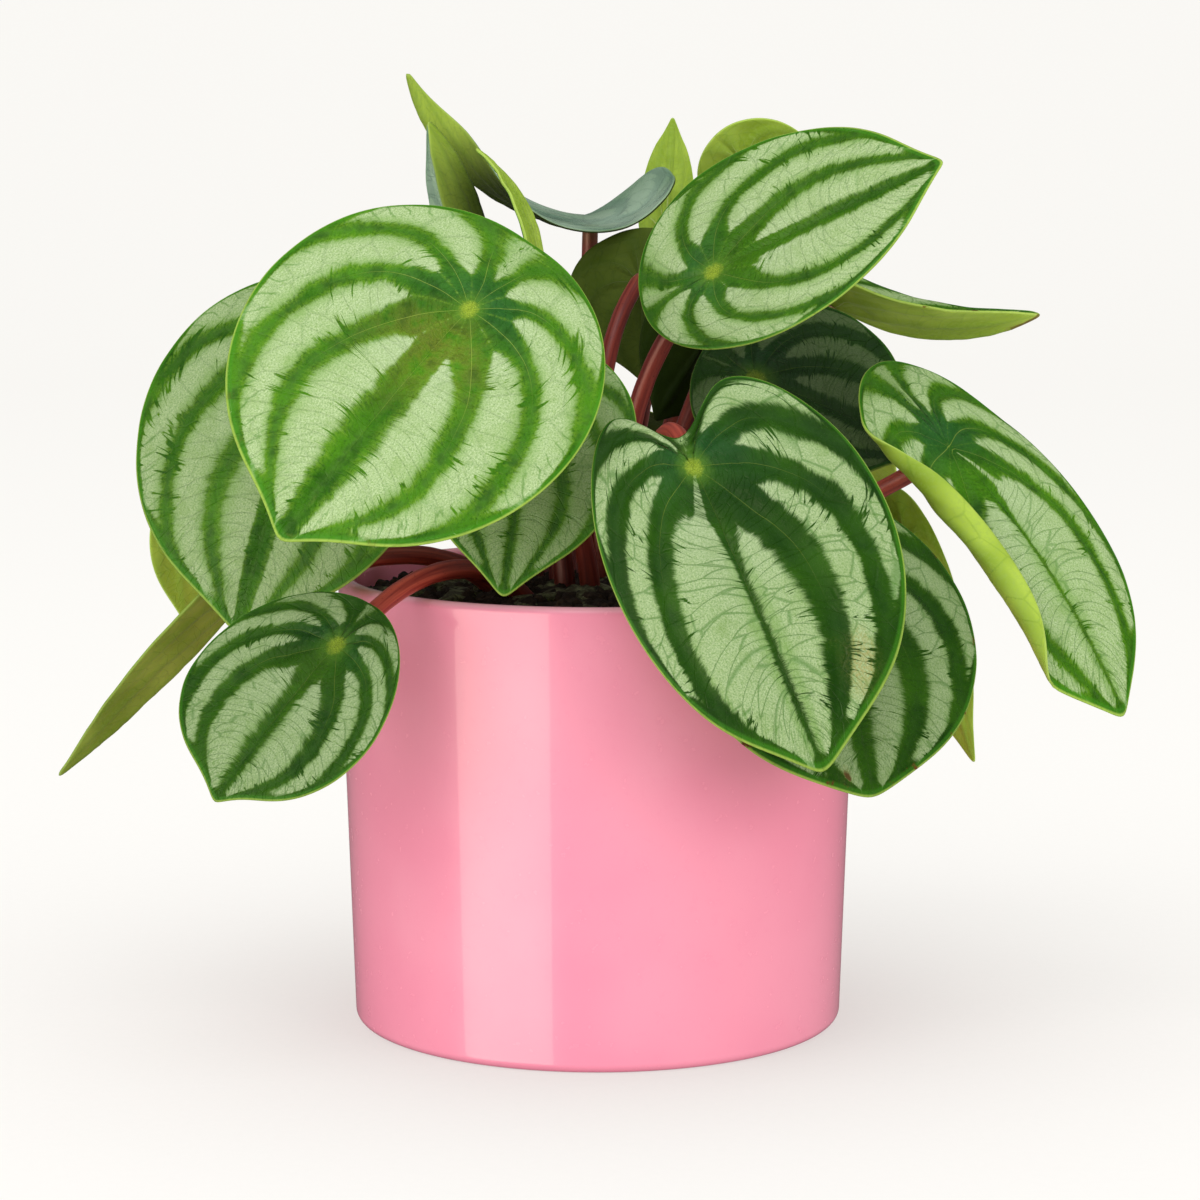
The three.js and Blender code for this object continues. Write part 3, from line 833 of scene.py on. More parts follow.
# %% The tree that bends a flat blade
LEAF_INPUTS = {
    "Rays": WHOLE, "Rings": WHOLE, "Upper side": MATERIAL, "Underside": MATERIAL,
    **dict.fromkeys(("Spot", "Along", "Side", "Normal", "Half widths", "Folds", "Curls", "Rolls",
                     "Furls", "Napes", "Crowding", "Tone", "Look", "Painted shade and wear", "Cast", "Blemish"),
                    VECTOR),
    **dict.fromkeys(("Length", "Back", "Point", "Spread", "Egg", "Notch", "Notch spread", "Bend",
                     "Swing", "Lift", "Thickness", "Pleats", "Ripple"), NUMBER),
}
TIP_PINCH = 0.45
ROLL_START = 0.55
SLIGHT_TURN = 0.02


def arc_step(slope, turn, distance):
    """Across and up after a distance along an arc that starts at a slope and turns steadily.

    A slight turn is added, so that a straight stretch doesn't divide by nothing."""
    turn = turn + SLIGHT_TURN
    end = turn * distance + slope
    return (sin(end) - sin(slope)) / turn, (cos(slope) - cos(end)) / turn


def by_side(pair, across):
    """The first value of a pair where across is positive, else the second."""
    first, second, _ = parts(pair)
    return between(second, first, above(across, 0.0))


def flat_outline(given, angle, share):
    """Place on the flat blade, along and across the midrib, and its half width on that side."""
    from_tip = size_of(angle)
    to_tip = exp(-power(from_tip / given["Spread"], 2.0))
    to_back = exp(-power((math.pi - from_tip) / given["Notch spread"], 2.0))
    half = (given["Length"] - given["Point"] + given["Back"]) * 0.5
    middle = (given["Length"] - given["Point"] - given["Back"]) * 0.5
    width = by_side(given["Half widths"], sin(angle))
    along = middle + half * cos(angle) + given["Point"] * to_tip + given["Notch"] * to_back
    fullness = (1.0 - given["Egg"] * cos(angle)) * (1.0 - to_tip * TIP_PINCH)
    return along * share, width * sin(angle) * fullness * share, width


def shaped_place(given, along, across, width):
    """Place in space of a place on the flat blade."""
    first_half, second_half, _ = parts(given["Half widths"])
    distance = size_of(across)
    inner = smaller(distance, width * ROLL_START)
    share = along / given["Length"]
    front = above(along, 0.0)

    # Across the blade: a fold at the midrib, an even curl, and a tighter roll of the outer part.
    slope = by_side(given["Folds"], across)
    slope = slope + front * power(share, 2.0) * by_side(given["Furls"], across)
    slope = slope + larger(along * -1.0, 0.0) / given["Back"] * by_side(given["Napes"], across)
    turn = by_side(given["Curls"], across) / larger(first_half, second_half)
    roll_turn = turn + by_side(given["Rolls"], across) / (width * (1.0 - ROLL_START))
    first = arc_step(slope, turn, inner)
    second = arc_step(slope + turn * inner, roll_turn, distance - inner)
    y = (first[0] + second[0]) * (above(across, 0.0) * 2.0 - 1.0)
    y = y + front * given["Swing"] * share * (1.0 - share) * 4.0
    z = first[1] + second[1] + (1.0 - front) * given["Lift"] * power(along / given["Back"], 2.0)

    # Along the blade: the midrib is one arc, and the blade stands square on it.
    bend = given["Bend"] / given["Length"]
    level = along * 0.0
    midrib = arc_step(level, -bend, along)
    x = midrib[0] + z * sin(bend * along)
    height = midrib[1] + z * cos(bend * along)
    place = joined(given["Spot"], scaled(given["Along"], x))
    return joined(joined(place, scaled(given["Side"], y)), scaled(given["Normal"], height))


# %% [markdown]
# ### Sunken veins and a living edge
#
# The veins lie in shallow valleys, the silver parts are small pillows, and the edge waves a
# little. A bump map could fake this, but the outline would stay dead flat, so the mesh itself
# rises and falls. The blade then gets a second skin below it, and both meet in a rounded edge.

# %% The leaf's relief
DIMPLE_DEPTH = 0.7 * MM
DIMPLE_RADIUS = 5.0 * MM
PILLOW_HEIGHT = 1.5
EDGE_WAVES = 2.2


def relief(tree, given):
    """How far the blade stands off its smooth shape: sunken veins, pillows, a waved edge."""
    seed = parts(given["Tone"])[2]
    x, y, _ = parts(named(tree, "disc"))
    share, reach, side = parts(named(tree, "vein"))
    number = vein_number(share)
    ridge = step(off_vein(number), 0.0, 0.65) - 0.6
    inside = step(reach, 0.06, 0.3) * step(reach, 1.02, 0.75)
    flow = along_veins(x, y)
    pillows = noise(vector(tree, flow * 3.2, number * 1.3 + side * 5.0, seed), 1.0, 1.0) - 0.5
    wave = noise(vector(tree, x * EDGE_WAVES + seed, y * EDGE_WAVES + seed, 0.0), 1.0, 1.0) - 0.5
    from_spot = length_of(named(tree, "flat")) / DIMPLE_RADIUS
    dimple = exp(-(from_spot * from_spot)) * DIMPLE_DEPTH
    rise = (ridge + pillows * PILLOW_HEIGHT) * inside * given["Pleats"]
    return rise + wave * power(reach, 5.0) * given["Ripple"] - dimple


# %% The whole blade
EDGE_ROUNDNESS = 70
CROWDED_RINGS = 1.5
SEAM_WELD = 0.01 * MM
EDGE_WELD = 0.002 * MM


def blade_tree():
    """Flat blade, shaped, given its relief, and closed with an underside and a rounded edge."""
    tree, given, leaving = new_tree("leaf blade", "GeometryNodeTree", LEAF_INPUTS, SHAPE)
    sheet = add_node(tree, "GeometryNodeMeshGrid", vertices_x=given["Rays"],
                     vertices_y=given["Rings"])
    grid_x, grid_y, _ = parts(here(tree))
    angle = grid_x * (-2 * math.pi)
    share = 1.0 - power(larger(0.5 - grid_y, 0.0), CROWDED_RINGS)
    along, across, width = flat_outline(given, angle, share)
    plain_share = vein_heading(share, size_of(angle)) * (1 / math.pi)
    heading_share = power(plain_share, by_side(given["Crowding"], across))
    kept = {"disc": vector(tree, share * cos(angle), share * sin(angle), plain_share),
            "flat": vector(tree, along, across, 0.0),
            "vein": vector(tree, heading_share, share, above(across, 0.0)),
            **{name.lower(): given[name] for name in ("Tone", "Look", "Painted shade and wear", "Cast", "Blemish")}}
    for name, value in kept.items():
        sheet = stored(sheet, name, value)
    sheet = merged(moved(sheet, position=shaped_place(given, along, across, width)), SEAM_WELD)

    normal = add_node(tree, "GeometryNodeInputNormal")
    sheet = moved(sheet, offset=scaled(normal, relief(tree, given) - given["Thickness"] * 0.5))
    reach = parts(named(tree, "vein"))[1]
    roundness = root(larger(1.0 - power(reach, EDGE_ROUNDNESS), 0.0))
    half = given["Thickness"] * 0.5 * roundness
    upper = stored(moved(sheet, offset=scaled(normal, half)), "lower", 0.0, "FLOAT", "FACE")
    lower = add_node(tree, "GeometryNodeFlipFaces", mesh=moved(sheet, offset=scaled(normal, -half)))
    blade = merged(together(upper, stored(lower, "lower", 1.0, "FLOAT", "FACE")), EDGE_WELD)
    finished(tree, blade, leaving, given["Upper side"], given["Underside"])
    return tree


# %% [markdown]
# ### From a tree to a plain piece
#
# A tree works as a modifier on an empty carrier. The carrier could stay in the scene, but a
# finished piece is handed on as a plain mesh, so the result is copied out and the carrier is
# removed.

# %% Growing a piece from its tree
def grown(name, tree, values):
    """Runs a tree with these inputs and returns the result as a plain mesh object."""
    carrier = in_scene("carrier", bpy.data.meshes.new("carrier"))
    modifier = carrier.modifiers.new("tree", "NODES")
    modifier.node_group = tree
    for item in tree.interface.items_tree:
        if item.in_out == "INPUT" and item.name in values:
            modifier[item.identifier] = values[item.name]
    depsgraph = bpy.context.evaluated_depsgraph_get()
    mesh = bpy.data.meshes.new_from_object(
        carrier.evaluated_get(depsgraph), preserve_all_data_layers=True, depsgraph=depsgraph)
    mesh.name = name
    bpy.data.objects.remove(carrier)
    return in_scene(name, mesh)


def corners(piece):
    """Lowest and highest corners of a piece."""
    points = [vertex.co for vertex in piece.data.vertices]
    return [Vector(pick(point[axis] for point in points) for axis in range(3))
            for pick in (min, max)]


def stands_for(piece, node):
    """Puts a piece on the object in place of a CAD node, and says how far their boxes differ."""
    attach(piece, "root")
    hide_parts(node)
    gap = max((a - b).length for a, b in zip(corners(piece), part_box(node)))
    faces = sum(len(face.vertices) - 2 for face in piece.data.polygons)
    print(f"{piece.name}: {faces} triangles, box differs by {gap / MM:.1f} mm")


# %% Grow the leaves
LEAF_THICKNESS = 1.0 * MM
LEAF_RAYS = 145
LEAF_RINGS = 41
leaf_blade = blade_tree()
print("leaf tree nodes:", len(leaf_blade.nodes))


def leaf_values(leaf):
    """A row of the table as the inputs of the blade's tree, in metres and radians."""
    spot, along, side, normal, length = leaf_axes(leaf)
    values = {
        "Rays": LEAF_RAYS, "Rings": LEAF_RINGS, "Spot": spot, "Along": along, "Side": side,
        "Normal": normal, "Length": length, "Half widths": (*(w * MM for w in leaf["half"]), 0.0),
        "Spread": leaf["spread"], "Egg": float(leaf["egg"]), "Notch spread": leaf["notch_spread"],
        "Bend": math.radians(leaf["bend"]), "Thickness": LEAF_THICKNESS,
        "Crowding": (*leaf["crowd"], 0.0), "Tone": (*leaf["tone"], leaf["seed"]),
        "Look": leaf["look"], "Painted shade and wear": (leaf["shade"], leaf["nicks"], leaf["eye"]),
        "Cast": (leaf["bluish"], leaf["gloom"], leaf["breadth"]), "Blemish": leaf["blemish"],
        "Upper side": upper_material, "Underside": lower_material,
    }
    for name in ("Back", "Point", "Notch", "Swing", "Lift", "Pleats", "Ripple"):
        values[name] = leaf[name.lower()] * MM
    for name in ("Fold", "Curl", "Roll", "Furl", "Nape"):
        values[name + "s"] = (*(math.radians(angle) for angle in leaf[name.lower()]), 0.0)
    return values


# The glaze of the real pot shows no leaves in its reflection, so mirrored rays miss them.
for leaf in LEAVES:
    blade = grown("blade_" + leaf["name"], leaf_blade, leaf_values(leaf))
    blade.visible_glossy = False
    stands_for(blade, "leaf_" + leaf["name"])

# %% [markdown]
# ## The stalks
#
# Each leaf stands on a fleshy round stalk, a little thicker where it leaves the crown in the soil.
# Its path is one curve with two pull points. A bevelled curve object could show it, but in a node
# tree the same curve gets its taper, its faint knobs and an attribute that runs along it for the
# streaks.

# %% The tree for a stalk
STALK_INPUTS = {
    **dict.fromkeys(("Foot", "First pull", "Second pull", "Head", "Joint", "Blade normal"), VECTOR),
    **dict.fromkeys(("Foot radius", "Head radius", "Seed"), NUMBER), "Finish": MATERIAL,
}
ELBOW_LENGTH = 7 * MM
STALK_RINGS = 64
STALK_SIDES = 20
KNOB_SHARE = 0.16


def stalk_tree():
    """A tube along the curve, which turns at its end so that it meets the blade squarely."""
    tree, given, leaving = new_tree("stalk", "GeometryNodeTree", STALK_INPUTS, SHAPE)
    path = add_node(
        tree, "GeometryNodeCurvePrimitiveBezierSegment", resolution=72, start=given["Foot"],
        start_handle=given["First pull"], end_handle=given["Second pull"], end=given["Head"])
    path = add_node(tree, "GeometryNodeResampleCurve", curve=path, count=STALK_RINGS)
    share = add_node(tree, "GeometryNodeSplineParameter")
    path = stored(path, "along", share, "FLOAT")
    left = (1.0 - share) * add_node(tree, "GeometryNodeSplineLength")
    upright = joined(given["Joint"], scaled(given["Blade normal"], -left))
    bend = step(left, ELBOW_LENGTH, ELBOW_LENGTH * 0.25)
    path = moved(path, offset=scaled(joined(upright, scaled(here(tree), -1.0)), bend))
    ring = add_node(tree, "GeometryNodeCurvePrimitiveCircle", resolution=STALK_SIDES, radius=1.0)
    ring = stored(ring, "around", here(tree))
    knob_place = joined(scaled(here(tree), 160.0), vector(tree, 0.0, 0.0, given["Seed"]))
    radius = between(given["Foot radius"], given["Head radius"], share)
    radius = radius * (1.0 + (noise(knob_place, 1.0, 1.0) - 0.5) * KNOB_SHARE)
    skin = add_node(tree, "GeometryNodeCurveToMesh", curve=path, profile_curve=ring, scale=radius,
                    fill_caps=True)
    finished(tree, stored(skin, "seed", given["Seed"], "FLOAT"), leaving, given["Finish"])
    return tree


# %% Grow the stalks
STALK_FOOT_RADIUS = 2.7 * MM
STALK_HEAD_RADIUS = 2.1 * MM
ROOTED_DEPTH = 4 * MM
JOINT_DEPTH = 1.2 * MM
HEAD_GAP = 0.45 * MM
SLANTED_HEAD_GAP = 2.4 * MM
SOIL_EDGE_HEIGHT = 111 * MM
SOIL_CENTRE_HEIGHT = 114 * MM
SOIL_RADIUS = 62 * MM
stalk_shape = stalk_tree()


def soil_height(radius):
    """The soil's top is a shallow dome."""
    share = min(radius / SOIL_RADIUS, 1)
    return SOIL_EDGE_HEIGHT + (SOIL_CENTRE_HEIGHT - SOIL_EDGE_HEIGHT) * (1 - share * share)


for leaf in LEAVES:
    spot, _, _, normal, _ = leaf_axes(leaf)
    distance, direction = leaf["root"][0] * MM, math.radians(leaf["root"][1])
    foot = Vector((math.cos(direction), math.sin(direction), 0)) * distance
    foot.z = soil_height(distance) - ROOTED_DEPTH
    pulls = [Vector(point) * MM for point in leaf["bow"]]
    slant = (spot - pulls[1]).normalized().cross(normal).length
    head_depth = LEAF_THICKNESS + HEAD_GAP + SLANTED_HEAD_GAP * slant
    stalk = grown("stalk_" + leaf["name"], stalk_shape, {
        "Foot": foot, "First pull": pulls[0], "Second pull": pulls[1],
        "Head": spot - normal * head_depth, "Joint": spot - normal * JOINT_DEPTH,
        "Blade normal": normal, "Foot radius": STALK_FOOT_RADIUS, "Head radius": STALK_HEAD_RADIUS,
        "Seed": leaf["seed"], "Finish": stalk_material,
    })
    stands_for(stalk, "petiole_" + leaf["name"])

# %% [markdown]
# ## The pot
#
# The cover pot is a thrown ceramic form with a thick pink glaze. Any round pot is a profile turned
# round its axis. The Screw modifier could turn it, but the few lines below also close both poles
# and keep the faces pointing outwards, and they serve for the soil too.

# %% Turning a profile
def turned(name, profile, segments, lift=None):
    """Turns a profile (radius, height), from the bottom pole to the top, into a closed mesh."""
    mesh_maker = bmesh.new()
    rings = []
    for radius, height in profile:
        ring = []
        for segment in range(segments if radius else 1):
            angle = 2 * math.pi * segment / segments
            x, y = radius * math.cos(angle), radius * math.sin(angle)
            rise = lift(x, y, height) if lift and radius else 0
            ring.append(mesh_maker.verts.new((x, y, height + rise)))
        rings.append(ring)
    for lower, upper in zip(rings, rings[1:]):
        for segment in range(segments):
            after = (segment + 1) % segments
            if len(lower) == 1:
                mesh_maker.faces.new((lower[0], upper[after], upper[segment]))
            elif len(upper) == 1:
                mesh_maker.faces.new((lower[segment], lower[after], upper[0]))
            else:
                mesh_maker.faces.new((lower[segment], lower[after], upper[after], upper[segment]))
    mesh = bpy.data.meshes.new(name)
    mesh_maker.to_mesh(mesh)
    mesh_maker.free()
    mesh.shade_smooth()
    return in_scene(name, mesh)


def round_corner(radius, height, rounding, start, end, steps, rise=None):
    """Points of a rounded corner round a radius and a height. rise is its height, if not round."""
    points = []
    for number in range(steps + 1):
        angle = math.radians(start + (end - start) * number / steps)
        points.append((radius + rounding * math.cos(angle),
                       height + (rise or rounding) * math.sin(angle)))
    return points


def stretch(start, end, steps):
    """Points between two points of a profile, without the points themselves."""
    return [tuple(a + (b - a) * number / steps for a, b in zip(start, end))
            for number in range(1, steps)]


# %% The pot's profile
POT_WALL = 4.4 * MM
POT_FLOOR = 7 * MM
POT_FOOT_RADIUS = 63.8 * MM
FOOT_ROUNDING = 2.5 * MM
LIP_HEIGHT = 2.0 * MM
INNER_ROUNDING = 4 * MM
POT_SEGMENTS = 240

pot_low, pot_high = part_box("pot")
pot_top_radius = (pot_high.x - pot_low.x) / 2
pot_height = pot_high.z


def inner_radius(height):
    return POT_FOOT_RADIUS - POT_WALL + (pot_top_radius - POT_FOOT_RADIUS) * height / pot_height


def pot_profile():
    """From the middle of the foot up the outside, over the lip and down to the floor's middle."""
    foot = round_corner(POT_FOOT_RADIUS - FOOT_ROUNDING, FOOT_ROUNDING, FOOT_ROUNDING, -90, 0, 8)
    lip = round_corner(pot_top_radius - POT_WALL / 2, pot_height - LIP_HEIGHT, POT_WALL / 2,
                       0, 180, 16, LIP_HEIGHT)
    floor_edge = inner_radius(POT_FLOOR + INNER_ROUNDING) - INNER_ROUNDING
    floor = round_corner(floor_edge, POT_FLOOR + INNER_ROUNDING, INNER_ROUNDING, 0, -90, 6)
    bottom = [(0, 0)] + stretch((0, 0), foot[0], 6)
    outside = stretch(foot[-1], lip[0], 24)
    inside = stretch(lip[-1], floor[0], 24)
    return bottom + foot + outside + lip + inside + floor + [(0, POT_FLOOR)]


print("pot in mm:", round(2 * pot_top_radius / MM), "wide,", round(pot_height / MM), "tall")


# %% [markdown]
# ### The glaze
#
# The glaze is an even pink with a clear, glossy skin. One glossy surface would blur its highlight
# and its colour together, so a soft pink layer lies under a thin sharp coat, and faint waves keep
# it from looking like plastic.

# %% The pink glaze
LIP_THINNING = 1.6 * MM
FOOT_SHADE = 2.4 * MM
GLAZE_ROUGHNESS = 0.26
COAT_WEIGHT = 0.55
COAT_ROUGHNESS = 0.04


def glaze_finish():
    """A smooth glossy glaze, with faint clouds of tone, paler where it thins over the lip."""
    material, tree, shader = new_material("pink glaze")
    place = object_place(tree)
    height = parts(place)[2]
    clouds = noise(scaled(place, 22.0), 1.0)
    fine = noise(scaled(place, 1 / MM), 0.35, 3.0, 0.6)
    pink = layered(
        tree, "#F590A9",
        ("#F89AB0", step(clouds, 0.3, 0.7)),
        ("#F389A4", step(fine, 0.55, 0.75) * 0.3),
        ("#FBC6D2", step(height, pot_height - LIP_THINNING, pot_height) * 0.5),
        # Painted shade: a deeper pink in the last few millimetres above the foot.
        ("#DE7C96", step(height, FOOT_SHADE, 0.0) * 0.6))
    waves = noise(scaled(place, 60.0), 1.0, 1.0)
    fill_in(tree, shader, {
        "Base Color": pink, "Roughness": GLAZE_ROUGHNESS + (fine - 0.5) * 0.08,
        "Coat Weight": COAT_WEIGHT, "Coat Roughness": COAT_ROUGHNESS,
        "Normal": bumped(tree, waves, 0.12, 0.5 * MM)})
    return material


pot = turned("glazed_pot", pot_profile(), POT_SEGMENTS)
pot.data.materials.append(glaze_finish())
stands_for(pot, "pot")

# %% [markdown]
# ## The soil
#
# Potting mix is dark peat with crumbs and flat chips of bark on top. Displacing one surface can't
# make loose pieces, so the bed is a turned shape with an uneven top, and a node tree scatters
# crumbs and chips on it. Each crumb has only two dozen faces, because there are more than a
# thousand of them.

# %% The soil's finish
def soil_finish(name, dark, pale, roughness):
    """Crumbly, matte and uneven in tone."""
    material, tree, shader = new_material(name)
    coarse = noise(place_in_mm(tree), 0.35, 3.0, 0.7)
    fine = noise(place_in_mm(tree), 2.2, 3.0, 0.7)
    brown = layered(
        tree, dark,
        (pale, step(coarse, 0.4, 0.75)),
        (pale, step(fine, 0.6, 0.8) * 0.6))
    fill_in(tree, shader, {"Base Color": brown, "Roughness": roughness, "Specular IOR Level": 0.3,
                           "Normal": bumped(tree, fine + coarse, 0.9, 0.6 * MM)})
    return material


# %% The bed
SOIL_GAP = 0.6 * MM
SOIL_FLOOR_GAP = 0.3 * MM
SOIL_EDGE_DROP = 1.5 * MM
SOIL_ROUGHNESS = 1.6 * MM
SOIL_LUMP = 7 * MM
SOIL_FADE = 4 * MM
SOIL_RINGS = 56
SOIL_SEGMENTS = 180


def soil_relief(x, y, height):
    """Unevenness of the soil's top, fading out towards the wall."""
    if height < SOIL_EDGE_HEIGHT:
        return 0
    inside = min(1, (inner_radius(SOIL_EDGE_HEIGHT) - math.hypot(x, y)) / SOIL_FADE)
    return fractal(Vector((x, y, 0)) / SOIL_LUMP, 1.0, 2.2, 4) * SOIL_ROUGHNESS * inside


def soil_profile():
    """From the pot's floor up along its wall, then inwards over the dome in even rings."""
    bottom = POT_FLOOR + SOIL_FLOOR_GAP
    edge = inner_radius(SOIL_EDGE_HEIGHT) - SOIL_GAP
    points = [(0, bottom), (inner_radius(bottom) - INNER_ROUNDING, bottom),
              (inner_radius(bottom + INNER_ROUNDING) - SOIL_GAP, bottom + INNER_ROUNDING),
              (edge, SOIL_EDGE_HEIGHT - SOIL_EDGE_DROP)]
    for number in range(SOIL_RINGS):
        radius = edge * (1 - number / SOIL_RINGS)
        points.append((radius, soil_height(radius)))
    return points + [(0, SOIL_CENTRE_HEIGHT)]


soil_bed = turned("soil_bed", soil_profile(), SOIL_SEGMENTS, soil_relief)
soil_bed.data.materials.append(soil_finish("potting soil", "#110B07", "#2C2117", 0.95))

# %% [markdown]
# ### Crumbs and chips
#
# A particle system could throw the crumbs, but a node tree keeps them in one piece with a fixed
# seed. One small cube is half rounded, placed at random, and roughened after it is placed, so no
# two are alike.

# %% The tree that scatters crumbs and chips
SCATTER_INPUTS = {
    "Radius": NUMBER, "Count": WHOLE, "Size": VECTOR, "Smallest": NUMBER, "Ruggedness": NUMBER,
    "Tilt": NUMBER, "Seed": WHOLE, "Finish": MATERIAL,
}


def random_value(tree, low, high, seed):
    node = tree.nodes.new("FunctionNodeRandomValue")
    node.data_type = "FLOAT"
    sockets = [s for s in node.inputs if s.enabled and s.name in ("Min", "Max")]
    for value, socket in zip((low, high, seed), (*sockets, node.inputs["Seed"])):
        put(tree, value, socket)
    return Wire(tree, [s for s in node.outputs if s.enabled][0])


def scatter_tree():
    """Rugged lumps on random places of a disc at the soil's height, turned and sized at random."""
    tree, given, leaving = new_tree("scattered bits", "GeometryNodeTree", SCATTER_INPUTS, SHAPE)
    seed, tilt = given["Seed"], given["Tilt"]
    lump = add_node(tree, "GeometryNodeMeshCube", size=(1.0, 1.0, 1.0), vertices_x=3, vertices_y=3,
                    vertices_z=3)
    place = here(tree)
    lump = moved(lump, position=joined(scaled(place, 0.55), scaled(unit(place), 0.3)))

    # The root of a random share spreads the places evenly over the disc.
    radius = root(random_value(tree, 0.0, 1.0, seed)) * given["Radius"]
    angle = random_value(tree, 0.0, 2 * math.pi, seed + 1.0)
    share = radius / SOIL_RADIUS
    height = SOIL_EDGE_HEIGHT + (SOIL_CENTRE_HEIGHT - SOIL_EDGE_HEIGHT) * (1.0 - share * share)
    spots = moved(add_node(tree, "GeometryNodePoints", count=given["Count"]),
                  position=vector(tree, radius * cos(angle), radius * sin(angle), height))
    size = scaled(given["Size"], random_value(tree, given["Smallest"], 1.0, seed + 2.0))
    turn = vector(tree, random_value(tree, -tilt, tilt, seed + 3.0),
                  random_value(tree, -tilt, tilt, seed + 4.0),
                  random_value(tree, 0.0, 2 * math.pi, seed + 5.0))
    bits = add_node(tree, "GeometryNodeInstanceOnPoints", points=spots, instance=lump, scale=size,
                    rotation=turn)
    bits = add_node(tree, "GeometryNodeRealizeInstances", geometry=bits)
    rugged = noise(scaled(place, 1 / MM), 0.45, out="Color")
    bits = moved(bits, offset=scaled(joined(rugged, (-0.5, -0.5, -0.5)), given["Ruggedness"]))
    finished(tree, bits, leaving, given["Finish"])
    return tree


# %% Scatter the crumbs and chips
bits_shape = scatter_tree()
soil_crumbs = grown("soil_crumbs", bits_shape, {
    "Radius": 59.5 * MM, "Count": 1500, "Size": (4.2 * MM, 3.4 * MM, 2.6 * MM), "Smallest": 0.35,
    "Ruggedness": 1.6 * MM, "Tilt": 0.8, "Seed": 4,
    "Finish": soil_finish("soil crumbs", "#1A110B", "#3B2C1E", 0.9),
})
bark_chips = grown("bark_chips", bits_shape, {
    "Radius": 57 * MM, "Count": 150, "Size": (11 * MM, 7 * MM, 2.4 * MM), "Smallest": 0.4,
    "Ruggedness": 2.2 * MM, "Tilt": 0.45, "Seed": 21,
    "Finish": soil_finish("bark chips", "#35321F", "#7C8260", 0.85),
})
for piece in (soil_bed, soil_crumbs, bark_chips):
    stands_for(piece, "soil")

# %% [markdown]
# ## The stage and the light
#
# The pot stands on a pale sheet that sweeps up behind it, as in a photographer's studio. A flat
# floor would end in a horizon line, so the sheet bends into a wall, and it glows a little to stay
# pale. One large key light from the front left could do, but the leaves' undersides would go dull.
# So a fill light and a low light open the shadows, and a window overhead puts the sheen on leaves
# and rim. A curved card of light at the left, which only reflections see, gives the glaze its
# upright band.

# %% The sweep
SWEEP_HALF_WIDTH = 4.0
SWEEP_FRONT = -3.0
SWEEP_BACK = 2.2
SWEEP_BEND = 1.2
SWEEP_TOP = 5.0
SWEEP_STEPS = 24
PAPER_GLOW = 0.71
POT_SHADE = 0.16
POT_SHADE_REACH = 0.07


def strip(name, pairs):
    """A strip of faces between pairs of points."""
    points = [point for pair in pairs for point in pair]
    faces = [(2 * n, 2 * n + 1, 2 * n + 3, 2 * n + 2) for n in range(len(pairs) - 1)]
    mesh = bpy.data.meshes.new(name)
    mesh.from_pydata(points, [], faces)
    mesh.shade_smooth()
    return in_scene(name, mesh)


def sweep_line():
    """The sheet seen from the side: floor, quarter-round bend and wall."""
    line = [(SWEEP_FRONT, 0.0)]
    for number in range(SWEEP_STEPS + 1):
        angle = math.radians(90 * number / SWEEP_STEPS)
        line.append((SWEEP_BACK + SWEEP_BEND * math.sin(angle), SWEEP_BEND * (1 - math.cos(angle))))
    return line + [(SWEEP_BACK + SWEEP_BEND, SWEEP_TOP)]


def sweep_finish():
    """Pale paper that also glows a little, so that it stays even and its shadows stay faint."""
    material, tree, shader = new_material("studio paper")
    paper = mixed(tree, "#918F8C", "#959390", noise(object_place(tree), 400.0))
    x, y, _ = parts(object_place(tree))
    # Painted shadow: the paper glows less close to the pot.
    from_pot = length_of(vector(tree, x, y, 0.0)) - pot_top_radius
    near_pot = exp(-larger(from_pot, 0.0) / POT_SHADE_REACH)
    fill_in(tree, shader, {
        "Base Color": paper, "Roughness": 1.0, "Specular IOR Level": 0.0,
        "Emission Color": colour("#FCFBF8"),
        "Emission Strength": PAPER_GLOW - near_pot * POT_SHADE})
    material.cycles.emission_sampling = "NONE"
    return material


studio_sweep = strip("studio_sweep", [
    ((-SWEEP_HALF_WIDTH, y, z), (SWEEP_HALF_WIDTH, y, z)) for y, z in sweep_line()])
studio_sweep.data.materials.append(sweep_finish())
studio_sweep.visible_glossy = False

# %% [markdown]
# ### Lamps and sky
#
# The lamps are large, so their shadows are soft. All but the window are kept out of reflections,
# because their mirror images would cover the glaze. The sky gives reflections less light than it
# gives surfaces.

# %% The lights
WORLD_LIGHT = 0.7
WORLD_REFLECTION = 0.14
WORLD_SEEN = 0.93


def soft_light(name, place, aim, size, power_watts):
    data = bpy.data.lights.new(name, "AREA")
    data.shape = "RECTANGLE"
    data.size, data.size_y = size
    data.energy = power_watts
    lamp = in_scene(name, data)
    lamp.location = place
    lamp.rotation_euler = (Vector(aim) - Vector(place)).to_track_quat("-Z", "Y").to_euler()
    return lamp


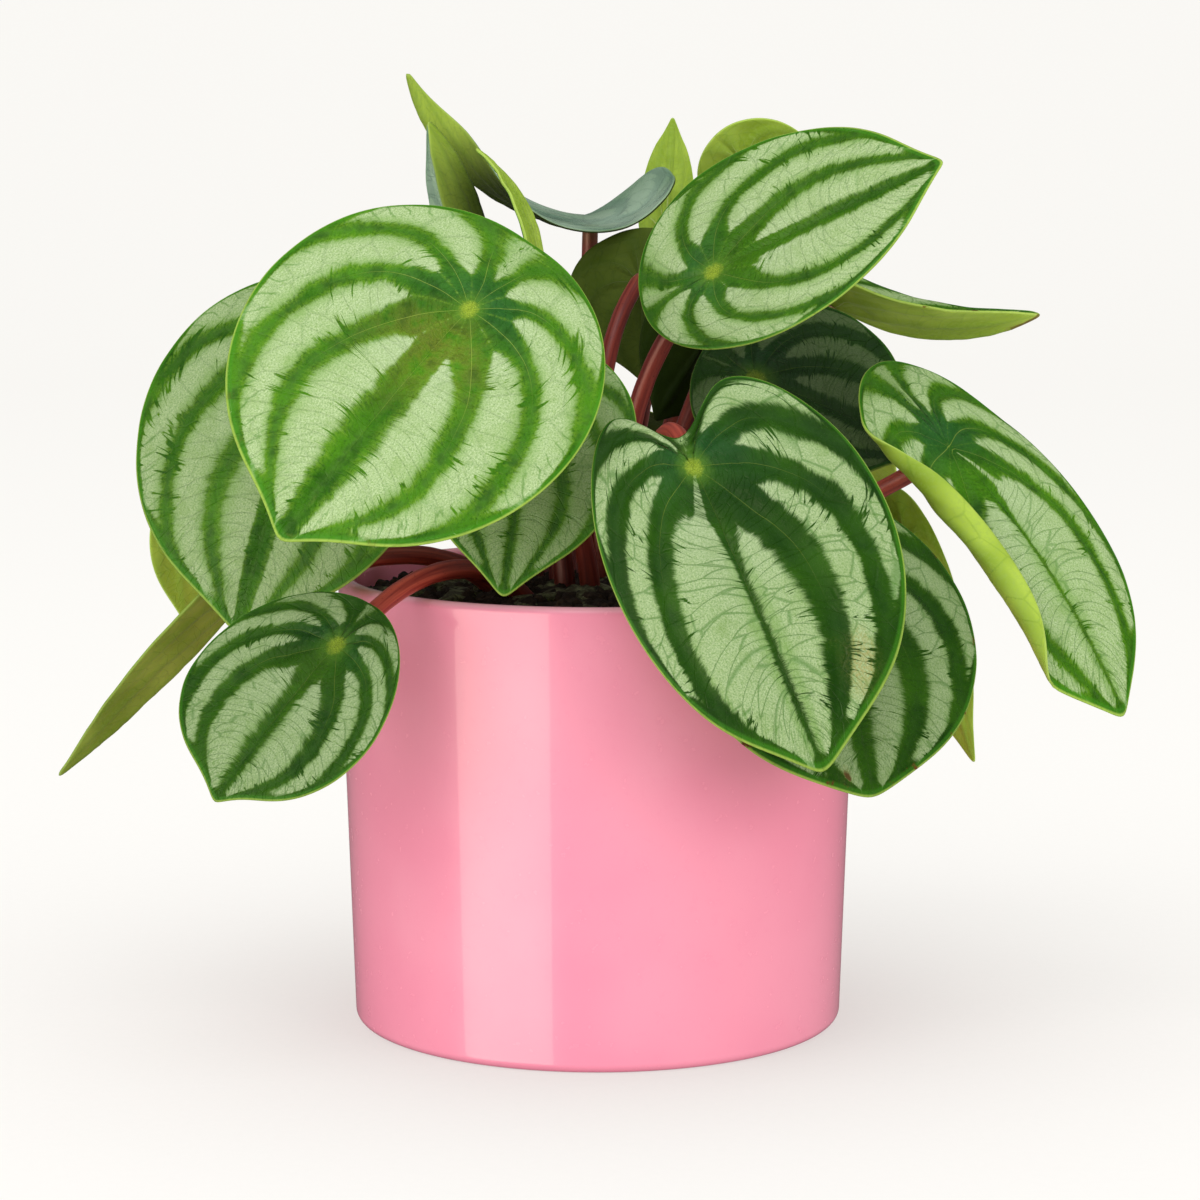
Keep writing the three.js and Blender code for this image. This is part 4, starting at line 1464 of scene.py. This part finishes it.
for name, place, aim, size, power_watts in (
    ("key light", (-1.2, -1.6, 1.7), (0, 0, 0.12), (3.0, 3.0), 36),
    ("fill light", (1.7, -1.3, 0.6), (0, 0, 0.1), (1.6, 1.2), 16),
    ("low left light", (-1.5, -0.8, 0.2), (0, 0, 0.06), (1.0, 0.4), 3.5),
):
    soft_light(name, place, aim, size, power_watts).visible_glossy = False
window = soft_light("overhead window", (0.1, -0.9, 1.9), (0, 0, 0.15), (1.6, 0.7), 6)
window.data.color = (0.92, 0.97, 1.0)


def studio_world():
    """Even pale light from all round, held back in reflections to keep the glaze deep."""
    world = bpy.data.worlds.new("studio")
    world.use_nodes = True
    tree = world.node_tree
    light_path = tree.nodes.new("ShaderNodeLightPath")
    glossy = Wire(tree, light_path.outputs["Is Glossy Ray"])
    seen = Wire(tree, light_path.outputs["Is Camera Ray"])
    strength = between(between(WORLD_LIGHT, WORLD_REFLECTION, glossy), WORLD_SEEN, seen)
    fill_in(tree, tree.nodes["Background"], {"Color": colour("#FAFAF9"), "Strength": strength})
    return world


bpy.context.scene.world = studio_world()

# %% [markdown]
# ### The upright band on the glaze
#
# The pale band is the mirror image of something tall and bright beside the camera. A painted
# stripe would not move with the view, so a real card stands there, and its two ends decide where
# the band begins and ends.

# %% The card for the glaze's reflection
CARD_DISTANCE = 1.5
CARD_HEADINGS = (-20.5, -64)
CARD_BOTTOM = -0.9
CARD_TOP = 0.9
CARD_GLOW = 3.4
CARD_TINT = (1, 0.92, 0.72, 1)
CARD_STEPS = 24


def reflection_card():
    """An upright curved strip of light round the left front, seen only in reflections."""
    pairs = []
    for number in range(CARD_STEPS + 1):
        start, end = CARD_HEADINGS
        angle = math.radians(start + (end - start) * number / CARD_STEPS)
        x, y = CARD_DISTANCE * math.sin(angle), -CARD_DISTANCE * math.cos(angle)
        pairs.append(((x, y, CARD_TOP), (x, y, CARD_BOTTOM)))
    card = strip("reflection_card", pairs)
    material, tree, shader = new_material("card glow")
    fill_in(tree, shader, {"Base Color": (0, 0, 0, 1), "Emission Color": CARD_TINT,
                           "Emission Strength": CARD_GLOW})
    material.cycles.emission_sampling = "NONE"
    card.data.materials.append(material)
    card.visible_camera = False
    card.visible_diffuse = False
    card.visible_shadow = False
    card.visible_transmission = False
    return card


reflection_card()
